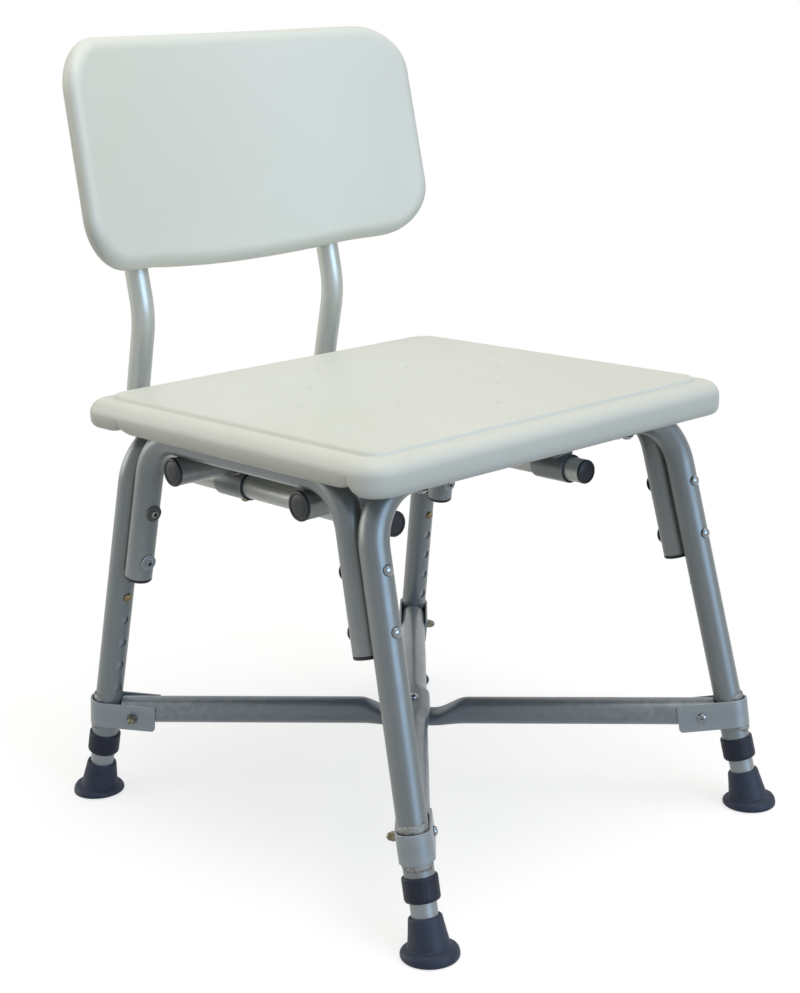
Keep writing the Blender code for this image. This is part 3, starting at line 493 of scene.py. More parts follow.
legs = {"topZ": 0.3888, "outerEnd": 0.0505, "bend": 0.055, "railBend": 0.050, "railDrop": 0.1409,
        "boltDrop": 0.0694, "boltPitch": 0.0522, "buttonBelowRail": 0.030, "buttonPitch": 0.0254,
        "holes": 5, "holeR": 0.0045, "holeRoom": 0.007, "drill": 0.02, "aboveButton": 0.034,
        "slideStart": 0.0093}
legLength = legs["topZ"] / legAxes["front_left"].z
buttonStation = legLength - legs["railDrop"] - legs["buttonBelowRail"]
railStep = 2 * fits["tubeR"] + fits["gap"]


def makeLegFrame(end):
    left, right = end + "_left", end + "_right"
    stations = [legs["outerEnd"]]
    for hole in range(legs["holes"]):
        middle = buttonStation - (legs["holes"] - 1 - hole) * legs["buttonPitch"]
        stations += [middle - legs["holeRoom"], middle + legs["holeRoom"]]
    high = stations[-1]
    path = [onLeg(left, station) for station in stations[:-1]]
    path += bentPath([onLeg(left, high), onLeg(left, legLength), onLeg(right, legLength),
                      onLeg(right, high)], legs["bend"])
    path += [onLeg(right, station) for station in reversed(stations[:-1])]
    rods = []
    for corner in (left, right):
        for hole in range(legs["holes"]):
            rods.append(buttonRod(corner, buttonStation - hole * legs["buttonPitch"]))
    name = end + "_leg_frame"
    mesh = carved(tubeMesh(name, path, fits["tubeR"], fits["tubeWall"]), rodTool(rods))
    addPiece("legs_" + end, mesh, "satinAluminium", name)


def buttonRod(corner, station):
    # drills one wall of a leg, on its inward side
    return onLeg(corner, station), onLeg(corner, station, legs["drill"]), legs["holeR"]


def railTop(corner):
    start = onLeg(corner, 0, railStep)
    return start + legAxes[corner] * (legs["topZ"] - start.z) / legAxes[corner].z


def makeSideRail(side):
    front, rear = "front_" + side, "rear_" + side
    low = legLength - legs["railDrop"]
    path = bentPath([onLeg(front, low, railStep), railTop(front), railTop(rear), onLeg(rear, low, railStep)],
                    legs["railBend"])
    addPiece("rail_" + side, tubeMesh("rail", path, fits["tubeR"], fits["tubeWall"]), "satinAluminium",
             "side_rail_" + side)
    for corner in (front, rear):
        place = frameAt(onLeg(corner, low, railStep), -legAxes[corner], (1, 0, 0))
        makePlug("rail_plug_" + corner, place, fits["tubeR"], "side_rail_plug_" + corner)


# the plug's face, as shares of its radius and depths below its head
plug = {"head": 0.0031, "stemR": 0.0017, "stem": 0.014, "face": (
    (0.30, 0.0003), (0.66, 0.0003), (0.70, 0.0006), (0.76, 0.0006), (0.80, 0.0), (0.88, 0.0),
    (0.95, 0.0003), (0.99, 0.0010), (1.0, 0.0018))}


def makePlug(name, place, radius, node, body="frame"):
    # a pushed-in end plug: face up, a shallow moulded ring in it
    head, stem = plug["head"], radius - plug["stemR"]
    profile = [(0.0005, head - 0.0003)] + [(radius * share, head - depth) for share, depth in plug["face"]]
    profile += [(radius, fits["gap"]), (stem, fits["gap"]), (stem - 0.0002, 0.002 - plug["stem"]),
                (stem - 0.0013, -plug["stem"])]
    addPiece(name, turnMesh(name, profile, place, 36), "plugPlastic", node, body=body)


def makeExtension(corner):
    stations = (legs["slideStart"], buttonStation - legs["holeRoom"], buttonStation + legs["holeRoom"],
                buttonStation + legs["aboveButton"])
    path = [onLeg(corner, station) for station in stations]
    mesh = carved(tubeMesh("slide", path, fits["slideR"], fits["slideWall"]),
                  rodTool([buttonRod(corner, buttonStation)]))
    addPiece("slide_" + corner, mesh, "innerTube", "leg_tube_" + corner, body="extension_" + corner)
    makeCollar(corner)
    makeTip(corner)
    inward = onLeg(corner, 0, 1) - onLeg(corner, 0)
    place = frameAt(onLeg(corner, buttonStation), inward, -legAxes[corner])
    makeButton("button_" + corner, place, "leg_button_" + corner, "lock_" + corner)


collar = {"base": 0.048, "height": 0.022, "ledge": 0.0022, "outerR": 0.0158, "ribs": 30,
          "ribDepth": 0.00032, "ribFoot": 0.004, "ribTop": 0.0025}


def makeCollar(corner):
    low = collar["base"]
    high = low + collar["height"]
    outer = collar["outerR"]
    inner = fits["tubeR"] + fits["play"]
    lip = fits["slideR"] + fits["play"]

    def ripple(angle, height):
        ribbed = low + collar["ribFoot"] < height < high - collar["ribTop"]
        return -collar["ribDepth"] * (1 - abs(math.cos(angle * collar["ribs"] / 2))) ** 2 if ribbed else 0

    profile = [
        (lip, low + 0.0004), (lip + 0.0004, low), (outer - 0.0022, low), (outer - 0.0010, low + 0.0006),
        (outer - 0.0003, low + 0.0016), (outer, low + 0.0030), (outer, low + 0.0045), (outer, high - 0.0030),
        (outer, high - 0.0015), (outer - 0.0004, high - 0.0005), (outer - 0.0012, high),
        (inner + 0.0003, high), (inner, high - 0.0003), (inner, low + collar["ledge"]),
        (lip, low + collar["ledge"])]
    mesh = turnMesh("collar", profile, legFrame(corner), 4 * collar["ribs"], wrap=True, ripple=ripple)
    addPiece("collar_" + corner, mesh, "slatePlastic", "leg_collar_" + corner)


# each ring: up the leg, radius, how level it lies (0 square to the leg, 1 flat on the floor)
tipRings = [
    (0.0092, 0.0020, 0), (0.0092, 0.01195, 0), (0.0345, 0.0120, 0), (0.0350, 0.0125, 0), (0.0352, 0.0132, 0),
    (0.0350, 0.0139, 0), (0.0344, 0.0145, 0), (0.0334, 0.0149, 0), (0.0320, 0.0151, 0), (0.0280, 0.0156, 0),
    (0.0200, 0.0168, 0.05), (0.0130, 0.0180, 0.2), (0.0099, 0.0185, 0.35), (0.0091, 0.0187, 0.45),
    (0.0087, 0.0192, 0.5), (0.0085, 0.0204, 0.5), (0.0081, 0.0224, 0.52), (0.0072, 0.0242, 0.56),
    (0.0055, 0.0253, 0.64), (0.0040, 0.0257, 0.74), (0.0024, 0.0258, 0.87), (0.0011, 0.0255, 0.97),
    (0.0004, 0.0249, 1), (0.0, 0.0239, 1), (0.0, 0.0200, 1), (0.0012, 0.0194, 1), (0.0012, 0.0164, 1),
    (0.0, 0.0158, 1), (0.0, 0.0110, 1), (0.0012, 0.0104, 1), (0.0012, 0.0020, 1)]
tipSteps = 56


def makeTip(corner):
    up = legAxes[corner]
    rings = []
    for station, radius, level in tipRings:
        center = onLeg(corner, station)
        if level == 1:
            center.z = station
        place = frameAt(center, up * (1 - level) + Vector((0, 0, 1)) * level, (1, 0, 0))
        rings.append([place @ Vector((radius * c, radius * s, 0)) for c, s in circle(tipSteps)])
    addPiece("tip_" + corner, loftMesh("tip", rings), "blackRubber", "leg_tip_" + corner,
             body="extension_" + corner)


button = {"radius": 0.0041, "proud": 0.0035, "dome": 0.62, "shoulder": 0.75, "head": 0.0055,
          "play": 0.0006, "travel": 0.005, "sheet": 0.0012, "leaf": 0.034, "leafRoot": 0.85,
          "leafTaper": 0.25, "leafHalf": 0.0005}


def makeButton(name, place, node, body):
    # a domed pin through both tubes, with a leaf spring behind it; +Z points out
    radius, head, sheet = button["radius"], button["head"], button["sheet"]
    tip = fits["tubeR"] + button["proud"]
    bore = fits["slideR"] - fits["slideWall"]
    ledge = math.sqrt(bore ** 2 - head ** 2) - button["play"]
    bm = bmesh.new()
    profile = [(radius * math.sin(angle), tip - radius * button["dome"] * (1 - math.cos(angle)))
               for angle in (0.08, 0.3, 0.6, 0.9, 1.2, 1.45)]
    profile += [(radius, tip - radius * button["shoulder"]), (radius, ledge), (head, ledge),
                (head, ledge - sheet), (0.0005, ledge - sheet)]
    turn(bm, profile, place, 32)
    lean = math.asin((ledge + bore - button["travel"] - 4 * sheet) / button["leaf"])
    rings = []
    for share in (0, 0.25, 0.5, 0.75, 1):
        reach = share * button["leaf"]
        center = Vector((-reach * math.cos(lean), 0, ledge - sheet / 2 - reach * math.sin(lean)))
        half = radius * (button["leafRoot"] - button["leafTaper"] * share)
        rings.append([place @ (center + Vector((0, y * half, z * button["leafHalf"])))
                      for y, z in ((-1, -1), (1, -1), (1, 1), (-1, 1))])
    loft(bm, rings)
    addPiece(name, meshFrom(bm, name), "dullBrass", node, body=body)


for end in ("front", "rear"):
    makeLegFrame(end)
for side in sides:
    makeSideRail(side)
for corner in corners:
    makeExtension(corner)
print("legs, rails and extensions ready")


# Bolts and washers

def domeHead(bolt, base):
    # a low dome on a short straight rim
    radius, height = bolt["headR"], bolt["headHeight"]
    return [(radius * math.sin(angle) * 0.98, base + height * (0.25 + 0.75 * math.cos(angle)))
            for angle in (0.08, 0.35, 0.65, 0.95, 1.25, 1.5)] + [
        (radius, base + height * 0.2), (radius, base + height * 0.06), (radius * 0.97, base)]


def hexFlats(nutR, low, high):
    # pulls a turned nut in to six flats between two heights
    def ripple(angle, height):
        flat = nutR * math.cos(math.pi / 6) / math.cos((angle % (math.pi / 3)) - math.pi / 6)
        return flat - nutR if low + 0.0004 < height < high + 0.00001 else 0

    return ripple


railBolt = {"headR": 0.0050, "headHeight": 0.0034, "shankR": 0.003, "washerR": 0.0082, "washer": 0.0010,
            "boreR": 0.0031, "endR": 0.0036, "endHeight": 0.0019, "holeR": 0.0019,
            "finish": {"upper": "darkWasherAndShade", "lower": "clampSheet"}}


def makeRailBolts(corner):
    inward = (onLeg(corner, 0, 1) - onLeg(corner, 0)).normalized()
    half = (railStep + 2 * fits["tubeR"]) / 2 + fits["gap"]
    low = -half - railBolt["washer"]
    end = low - railBolt["endHeight"]
    shank, bore, rim = railBolt["shankR"], railBolt["boreR"], railBolt["washerR"]
    spread, hole = railBolt["endR"], railBolt["holeR"]
    head = domeHead(railBolt, half)
    head += [(shank, half), (shank, -half), (0.0004, -half)]
    # the hollow end is rolled over a washer
    rolled = [(0.0004, -half), (hole, -half), (hole, end + 0.0004), (hole * 1.15, end), (spread * 0.8, end),
              (spread * 0.97, end + 0.0005), (spread, end + 0.0010), (spread * 0.92, low), (shank, low),
              (shank, -half + 0.0001), (0.0004, -half + 0.0001)]
    washer = [(bore, low), (rim * 0.60, low), (rim * 0.64, low + 0.0002), (rim * 0.70, low + 0.0002),
              (rim * 0.74, low), (rim * 0.9, low), (rim * 0.97, low + 0.0002), (rim, low + 0.0005),
              (rim, -half), (bore, -half)]
    drop = legs["boltDrop"]
    for level, finish in railBolt["finish"].items():
        place = frameAt(onLeg(corner, legLength - drop, railStep / 2), -inward, legAxes[corner])
        spot = level + "_" + corner
        addPiece("bolt_" + spot, turnMesh("railBolt", head, place, 32), "chromeSteel", "rail_bolt_" + spot)
        addPiece("bolt_end_" + spot, turnMesh("boltEnd", rolled, place, 32), "dullSteel")
        addPiece("washer_" + spot, turnMesh("washer", washer, place, 40, wrap=True), finish, slotName="steel")
        drop += legs["boltPitch"]


for corner in corners:
    makeRailBolts(corner)


# Cross brace and its clamps

brace = {"height": 0.0933, "flat": 0.020, "taper": 0.034, "spread": 0.22, "square": 0.22, "squash": 0.506,
         "standOff": 0.0170, "ends": {
             "lower": ("rear_left", "front_right"), "upper": ("front_left", "rear_right")}}
clamp = {"width": 0.027, "sheet": 0.002, "ear": 0.052, "boltReach": 0.029, "lowRound": 0.0042,
         "topRound": 0.0014, "edge": 0.00035, "innerR": 0.01380, "bendSteps": 24,
         "endStops": [0, 0.0002, 0.0006, 0.0012, 0.002, 0.003, 0.0042, 0.006]}


def clampFrame(corner):
    start = onLeg(corner, brace["height"] / legAxes[corner].z)
    inward = Vector((-start.x, -start.y, 0)).normalized()
    up = legAxes[corner]
    square = (up - inward * up.dot(inward)).normalized()
    return frameAt(start, square + up, inward)


def smoothStep(value):
    value = min(1.0, max(0.0, value))
    return value * value * (3 - 2 * value)


def makeBrace(level):
    left, right = [onLeg(corner, brace["height"] / legAxes[corner].z) for corner in brace["ends"][level]]
    place = frameAt((left + right) / 2, (0, 0, 1), right - left)
    radius = fits["tubeR"]
    half = (right - left).length / 2 - brace["standOff"]
    rest = -radius if level == "lower" else radius
    stops = [brace["flat"] + brace["taper"] * step / 12 for step in range(13)] + [half]
    stops = [-stop for stop in reversed(stops)] + stops
    rings = []
    for size in (radius, radius - fits["tubeWall"]):
        skin = []
        for x in stops:
            share = 1 - smoothStep((abs(x) - brace["flat"]) / brace["taper"])
            power = 1 - brace["square"] * share
            keep = 1 - share * brace["squash"]
            ring = []
            for c, s in circle(48):
                y = math.copysign(abs(c) ** power, c) * size * (1 + brace["spread"] * share)
                z = math.copysign(abs(s) ** power, s) * size
                z = rest + (z - rest) * keep
                ring.append(place @ Vector((x, y, z)))
            skin.append(ring)
        rings += skin if size == radius else list(reversed(skin))
    name = "brace_tube_" + level
    # the brace takes the darker copy of the aluminium, painted shade under the seat
    addPiece("brace_" + level, loftMesh(name, rings, wrap=True), "shadedBraceTube", name)


def strapStops(lean):
    # middle line of the bent sheet: point, outward normal and distance from the nearer ear's end
    middle = clamp["innerR"] + clamp["sheet"] / 2
    shift = -lean * clamp["width"] / 2 - clamp["innerR"] * (math.sqrt(1 + lean ** 2) - 1)
    length = clamp["ear"] - shift
    straight = clamp["endStops"] + [length * share for share in (0.3, 0.5, 0.75)]
    ears = [[(Vector((clamp["ear"] - away, side * middle)), Vector((0, side)), away) for away in straight]
            for side in (1, -1)]
    stops = ears[0]
    for step in range(clamp["bendSteps"] + 1):
        angle = math.pi / 2 + math.pi * step / clamp["bendSteps"]
        out = Vector((math.cos(angle), math.sin(angle)))
        stops.append((Vector((shift, 0)) + out * middle, out, length))
    return stops + ears[1][::-1]


def rounding(away, radius):
    return radius - math.sqrt(radius ** 2 - (radius - away) ** 2) if away < radius else 0.0


def makeClamp(corner):
    place = clampFrame(corner)
    local = place.to_3x3().inverted() @ legAxes[corner]
    edge = clamp["edge"]
    half = clamp["sheet"] / 2
    rings = []
    for point, out, away in strapStops(local.x / local.z):
        low = -clamp["width"] / 2 + rounding(away, clamp["lowRound"])
        high = clamp["width"] / 2 - rounding(away, clamp["topRound"])
        section = [(half - edge, low), (half, low + edge), (half, (low + high) / 2), (half, high - edge),
                   (half - edge, high), (edge - half, high), (-half, high - edge), (-half, (low + high) / 2),
                   (-half, low + edge), (edge - half, low)]
        rings.append([place @ Vector((point.x + out.x * reach, point.y + out.y * reach, height))
                      for reach, height in section])
    addPiece("clamp_" + corner, loftMesh("clamp", rings, sharp=30), "clampSheet", "brace_clamp_" + corner)
    makeClampBolt(corner, place)
    makeStrapWelds(corner, place)


clampBolt = {"headR": 0.0046, "headHeight": 0.0034, "shankR": 0.003, "slot": 0.0012, "slotReach": 0.0028,
             "slotDepth": 0.0022, "slotTaper": 0.35, "slotTurn": 0.35, "washerR": 0.0056, "washer": 0.0008,
             "boreR": 0.0031, "nutR": 0.0046, "nut": 0.0042, "chamfer": 0.86, "crownR": 0.84,
             "crown": 0.0040}


def crossSlot(toHead, top):
    # a tapering cross, cut into the head
    aim = toHead @ Matrix.Rotation(clampBolt["slotTurn"], 4, "Z")
    wide, reach = clampBolt["slot"] / 2, clampBolt["slotReach"]
    rings = []
    for height, out in ((top + 0.001, reach), (top - clampBolt["slotDepth"], reach * clampBolt["slotTaper"])):
        rings.append([aim @ Matrix.Rotation(-quarter * math.pi / 2, 4, "Z") @ Vector((x, y, height))
                      for quarter in range(4) for x, y in ((wide, wide), (out, wide), (out, -wide))])
    return loftMesh("slotTool", rings)


def makeClampBolt(corner, place):
    outer = clamp["innerR"] + clamp["sheet"] + fits["gap"] / 2
    across = corners[corner][0] * corners[corner][1]
    spot = place @ Matrix.Translation((clamp["boltReach"], 0, 0))
    toHead = spot @ Matrix.Rotation(across * math.pi / 2, 4, "X")
    shank, bore, rim = clampBolt["shankR"], clampBolt["boreR"], clampBolt["washerR"]
    end = -outer - clampBolt["nut"] / 2
    head = domeHead(clampBolt, outer)
    head += [(shank, outer), (shank, end), (0.0005, end)]
    bolt = carved(turnMesh("clampBolt", head, toHead, 36),
                  crossSlot(toHead, outer + clampBolt["headHeight"]))
    addPiece("brace_screw_" + corner, bolt, "chromeSteel", "clamp_bolt_" + corner)
    base = -outer - clampBolt["washer"]
    low = base - clampBolt["nut"]
    nut = clampBolt["nutR"]
    crown, top = nut * clampBolt["crownR"], low - 0.0003
    acorn = [(bore, base), (nut, base), (nut, low + 0.0005), (nut * clampBolt["chamfer"], low), (crown, top)]
    acorn += [(crown * math.cos(angle), top - clampBolt["crown"] * math.sin(angle))
              for angle in (0.3, 0.6, 0.9, 1.2, 1.45)]
    mesh = turnMesh("acorn", acorn, toHead, 48, ripple=hexFlats(nut, low, base), sharp=25)
    addPiece("acorn_nut_" + corner, mesh, "oliveSteel")
    # a dark washer behind the acorn nut: painted shade of the recess round the nut
    washer = [(bore, -outer), (rim, -outer), (rim, base + 0.0002), (rim * 0.95, base), (bore, base)]
    addPiece("nut_shade_washer_" + corner, turnMesh("washer", washer, toHead, 36, wrap=True), "darkWasherAndShade")


weld = {"depth": 0.0017, "upper": 0.0042, "lower": 0.0034, "span": 74, "stops": 16, "sides": 16,
        "lumpSize": 420, "lumps": 0.40, "ripples": 0.08, "ripplePitch": 1.9, "endSize": 0.35, "endGrow": 4,
        "fillet": 0.55, "proud": 0.0002, "sleeveR": 0.0016, "saddle": 0.0098}


def addBead(bm, stops, seed):
    # a lumpy run of weld metal; each stop gives its middle and the two half axes of its section
    rings = []
    for index, (point, first, second) in enumerate(stops):
        share = index / (len(stops) - 1)
        taper = min(1.0, weld["endSize"] + weld["endGrow"] * min(share, 1 - share))
        ring = []
        for c, s in circle(weld["sides"]):
            out = first * c + second * s
            lump = noise.noise((point + out) * weld["lumpSize"] + Vector((seed, 0, 0)))
            ripple = weld["ripples"] * math.sin(index * weld["ripplePitch"])
            ring.append(point + out * taper * (1 + ripple + weld["lumps"] * lump))
        rings.append(ring)
    loft(bm, rings)


def makeStrapWelds(corner, place):
    # fillets on the strap's upper and lower edges, where it wraps the leg's outer side
    lower = place.inverted() @ onLeg(corner, 0)
    upper = place.inverted() @ onLeg(corner, 0.2)
    along = (upper - lower).normalized()
    turned = place.to_3x3()
    bm = bmesh.new()
    for level, tall in ((1, weld["upper"]), (-1, weld["lower"])):
        stops = []
        height = level * (clamp["width"] / 2 + tall * weld["fillet"])
        start = lower + along * (height - lower.z) / along.z
        for step in range(2 * weld["stops"] + 1):
            angle = math.pi + math.radians(weld["span"]) * (step / weld["stops"] - 1)
            out = Vector((math.cos(angle), math.sin(angle), 0))
            point = start + out * (fits["tubeR"] + weld["proud"])
            stops.append((place @ point, turned @ out * weld["depth"], turned @ along * tall))
        addBead(bm, stops, level * 3 + corners[corner][0] * 11 + corners[corner][1] * 5)
    addPiece("strap_weld_" + corner, meshFrom(bm, "weld", sharp=60), "weldBead")


braceBolt = {"headR": 0.0052, "headHeight": 0.0034, "shankR": 0.003, "nutR": 0.0050, "nut": 0.0045,
             "chamfer": 0.86, "tail": 0.0012}


def makeBraceBolt():
    half = fits["tubeR"] + fits["gap"]
    low = -half - braceBolt["nut"]
    end = low - braceBolt["tail"]
    nut, shank = braceBolt["nutR"], braceBolt["shankR"]
    profile = domeHead(braceBolt, half)
    profile += [(shank, half), (shank, -half + 0.0001), (nut, -half), (nut, low + 0.0005),
                (nut * braceBolt["chamfer"], low), (shank, low), (shank, end), (0.0005, end - 0.0003)]
    place = Matrix.Translation((0, 0, brace["height"]))
    mesh = turnMesh("braceBolt", profile, place, 48, ripple=hexFlats(nut, low, -half), sharp=25)
    addPiece("brace_center_bolt", mesh, "chromeSteel", "brace_bolt")


for level in brace["ends"]:
    makeBrace(level)
for corner in corners:
    makeClamp(corner)
makeBraceBolt()
print("brace and clamps ready")


# Cross bars, sleeves and backrest posts

bars = {"z": 0.3617, "length": 0.4054, "sleeveZ": 0.33495, "sleeveLength": 0.042, "spacing": 0.248,
        "sleeveR": 0.01415, "sleeveWall": 0.00195, "plugR": 0.0138, "buttonInset": 0.010, "postReach": 0.018}
barY = {end: (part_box(end + "_cross_bar")[0].y - midY) + fits["tubeR"] for end in ("front", "rear")}
buttonY = barY["rear"] - fits["tubeR"] + bars["buttonInset"]
postFrontY = barY["front"] - fits["tubeR"] - bars["postReach"]


def makeCrossBar(end):
    y = barY[end]
    half = bars["length"] / 2
    path = [Vector((-half, y, bars["z"])), Vector((half, y, bars["z"]))]
    name = end + "_cross_bar"
    addPiece("bar_" + end, tubeMesh(name, path, fits["tubeR"], fits["tubeWall"]), "satinAluminium", name)
    for side, across in sides.items():
        makeSleeve(end, side, across * bars["spacing"] / 2, y)
        place = frameAt((across * half, y, bars["z"]), (across, 0, 0), (0, 0, 1))
        plugName = "bar_plug_" + end + "_" + side
        makePlug(plugName, place, bars["plugR"], "cross_" + plugName)


def makeSleeve(end, side, x, y):
    start = y - fits["tubeR"]
    z = bars["sleeveZ"]
    spot = end + "_" + side
    hole = start + bars["buttonInset"]
    stops = (start, hole - legs["holeRoom"], hole + legs["holeRoom"], start + bars["sleeveLength"])
    mesh = tubeMesh("sleeve", [Vector((x, stop, z)) for stop in stops], bars["sleeveR"], bars["sleeveWall"],
                    lip=0.0007)
    if end == "rear":
        mesh = carved(mesh, rodTool([postRod(x)]))
    addPiece("sleeve_" + spot, mesh, "satinAluminium")
    # a dark ring closes the sleeve's front mouth round the post; its dark plastic is painted shade of the gap
    # between sleeve and post
    bore, rim = fits["slideR"] + fits["play"], bars["sleeveR"]
    ring = [(bore, 0.0002), (bore, 0.0012), (bore + 0.0003, 0.0015), (rim - 0.0008, 0.0015),
            (rim - 0.0003, 0.0011), (rim - 0.0002, 0.0002)]
    mesh = turnMesh("sleeveShadeRing", ring, frameAt((x, start, z), (0, -1, 0), (0, 0, 1)), 48, wrap=True)
    addPiece("sleeve_shade_ring_" + spot, mesh, "plugPlastic")
    # the weld runs round the saddle where the sleeve meets the bar
    path = []
    saddle = circle(40)
    for c, s in saddle + saddle[:1]:
        dx, dy = weld["saddle"] * c, weld["saddle"] * s
        under = bars["z"] - math.sqrt(fits["tubeR"] ** 2 - dy ** 2)
        over = z + math.sqrt(bars["sleeveR"] ** 2 - dx ** 2)
        path.append(Vector((x + dx, y + dy, (under + over) / 2)))
    bm = bmesh.new()
    addBead(bm, [(point, first * weld["sleeveR"], second * weld["sleeveR"])
                 for point, first, second, tangent in pathFrames(path)], x * 90 + y * 40)
    addPiece("sleeve_weld_" + spot, meshFrom(bm, "weld", sharp=60), "weldBead")


def postRod(x):
    # drills the lower wall of a rear sleeve or a post
    z = bars["sleeveZ"]
    return (x, buttonY, z), (x, buttonY, z - legs["drill"]), legs["holeR"]


seat = {"width": 0.456, "depth": 0.430, "height": 0.4245, "corner": 0.028, "raisedCorner": 0.018,
        "raisedFrom": 0.0165, "bottom": 0.3895, "rise": 0.005, "notch": 0.006, "notchWidth": 0.022,
        "frontNotch": 0.034, "rearNotch": 0.064, "drainSpread": 0.128, "leastCorner": 0.0115,
        "cuspStops": (0, 0.0005, 0.0012, 0.0022, 0.0035, 0.005, 0.007, 0.010, 0.013, 0.016),
        "sideStops": {-0.12, -0.06, 0.0, 0.06}}
back = {"width": 0.427, "height": 0.2197, "thick": 0.030, "edge": 0.0144, "rise": 0.1045, "sag": 0.052,
        "bow": 0.005, "crown": 0.0076, "taper": 0.02, "offset": 0.0157, "topCorner": 0.050,
        "lowCorner": 0.052, "strips": 84, "edgeSteps": 20, "insert": 0.130, "socketStart": 0.016,
        "socketR": 0.0167, "socketLip": ((0, 0.0012), (0.0004, 0.0004), (0.0014, 0)), "boreStart": -0.02}
post = {"behind": 0.0695, "lowLean": math.radians(14.5), "lean": math.radians(10.1), "kneeRise": 0.0585,
        "bend": 0.060, "kneeBend": 0.090}
postRear = Vector((0, seat["depth"] / 2 + post["behind"], bars["sleeveZ"]))
kneeZ = seat["height"] + post["kneeRise"]
knee = Vector((0, postRear.y - (kneeZ - postRear.z) * math.tan(post["lowLean"]), kneeZ))


def backFrame():
    # middle of the panel's bottom edge: +Y up the panel, +Z out of its front
    up = Vector((0, math.sin(post["lean"]), math.cos(post["lean"])))
    ahead = Vector((0, -math.cos(post["lean"]), math.sin(post["lean"])))
    matrix = Matrix(((1, 0, 0), up, ahead)).transposed().to_4x4()
    matrix.translation = knee + up * (back["rise"] - post["kneeRise"]) / up.z + ahead * back["offset"]
    return matrix


def makePost(side, across):
    x = Vector((across * bars["spacing"] / 2, 0, 0))
    z = bars["sleeveZ"]
    top = backFrame() @ Vector((0, back["socketStart"] + back["insert"], -back["offset"]))
    front = x + Vector((0, postFrontY, z))
    lead = x + Vector((0, buttonY + legs["holeRoom"], z))
    lower = bentPath([lead, x + postRear, x + knee], post["bend"])
    upper = bentPath([lower[-2], x + knee, x + top], post["kneeBend"])
    path = [front, x + Vector((0, buttonY - legs["holeRoom"], z))] + lower[:-1] + upper[1:]
    mesh = carved(tubeMesh("post", path, fits["slideR"], fits["slideWall"]), rodTool([postRod(x.x)]))
    # the posts take the lighter copy of the aluminium, painted light and reflection from the seat and
    # backrest
    addPiece("post_" + side, mesh, "litPostTube", "backrest_post_" + side, body="backrest")
    makePlug("post_plug_" + side, frameAt(front, (0, -1, 0), (0, 0, 1)), fits["slideR"],
             "backrest_post_plug_" + side, "backrest")
    place = frameAt((x.x, buttonY, z), (0, 0, -1), (0, -1, 0))
    makeButton("back_button_" + side, place, "backrest_button_" + side, "backrest_lock_" + side)


for end in barY:
    makeCrossBar(end)
for side, across in sides.items():
    makePost(side, across)
print("bars, sleeves and posts ready")


# Backrest panel

def arc(center, radius, start, steps):
    # a quarter turn, from an angle in degrees
    angles = [math.radians(start + 90 * step / steps) for step in range(steps + 1)]
    return [center + Vector((math.cos(angle), math.sin(angle))) * radius for angle in angles]


def roundedLoop(width, low, high, lowCorner, highCorner, inset, steps=14):
    # counter-clockwise from the lower right corner
    points = []
    half = width / 2 - inset
    spots = ((half, low + inset, lowCorner, 1, -90), (half, high - inset, highCorner, -1, 0),
             (-half, high - inset, highCorner, -1, 90), (-half, low + inset, lowCorner, 1, 180))
    for x, y, corner, into, start in spots:
        radius = max(corner - inset, 0.003)
        points += arc(Vector((x - math.copysign(radius, x), y + into * radius)), radius, start, steps)
    return points


def panelForward(x):
    return back["sag"] * (2 * x / back["width"]) ** 2


def makeBackrest():
    place = backFrame()
    half = back["thick"] / 2
    edge = back["edge"]
    rings = []
    for step in range(back["edgeSteps"] + 1):
        angle = math.pi * step / back["edgeSteps"] - math.pi / 2
        height = math.copysign(half - edge, math.sin(angle)) if abs(math.sin(angle)) > 1e-6 else 0.0
        inset = edge * (1 - math.cos(angle))
        rings.append([Vector((point.x, point.y, height + edge * math.sin(angle))) for point in roundedLoop(
            back["width"], 0, back["height"], back["lowCorner"], back["topCorner"], inset)])
    bm = bmesh.new()
    loft(bm, rings)
    for strip in range(1, back["strips"]):
        x = back["width"] * (strip / back["strips"] - 0.5)
        bmesh.ops.bisect_plane(bm, geom=bm.verts[:] + bm.edges[:] + bm.faces[:], dist=0.00001,
                               plane_co=(x, 0, 0), plane_no=(1, 0, 0))
    for vertex in bm.verts:
        x, up = vertex.co.x, vertex.co.y / back["height"]
        vertex.co.x *= 1 + back["taper"] * (0.5 - up)
        vertex.co.y -= back["bow"] * max(0, 1 - (2 * x / bars["spacing"]) ** 2) * (1 - up)
        vertex.co.y += back["crown"] * (1 - (2 * x / back["width"]) ** 2) * up
        vertex.co.z += panelForward(x)
        vertex.co = place @ vertex.co
    addPiece("back_panel", meshFrom(bm, "backPanel", sharp=50), "whitePlastic", "backrest_panel",
             body="backrest")
    for side, across in sides.items():
        makeSocket(side, across * bars["spacing"] / 2, place)


def makeSocket(side, x, place):
    # the moulded ridge behind the panel that takes a post
    radius = back["socketR"]
    axis = -back["offset"]
    start = back["socketStart"]
    end = start + back["insert"]
    ahead = panelForward(abs(x) - radius)
    stops = [(start + along, radius - cut) for along, cut in back["socketLip"]] + [(end, radius)]
    stops += [(end + radius * math.sin(angle), radius * math.cos(angle))
              for angle in (0.3, 0.6, 0.9, 1.2, 1.4)]
    rings = []
    for y, size in stops:
        angles = [math.radians(angle) for angle in range(-180, 1, 10)]
        ring = [Vector((x + size * math.cos(angle), y, axis + size * math.sin(angle))) for angle in angles]
        ring += [Vector((x + size, y, ahead)), Vector((x - size, y, ahead))]
        rings.append([place @ point for point in ring])
    bore = (place @ Vector((x, back["boreStart"], axis)), place @ Vector((x, end, axis)),
            fits["slideR"] + fits["gap"])
    mesh = carved(loftMesh("socket", rings), rodTool([bore], 48))
    addPiece("back_socket_" + side, mesh, "whitePlastic", body="backrest")


makeBackrest()
print("backrest ready")


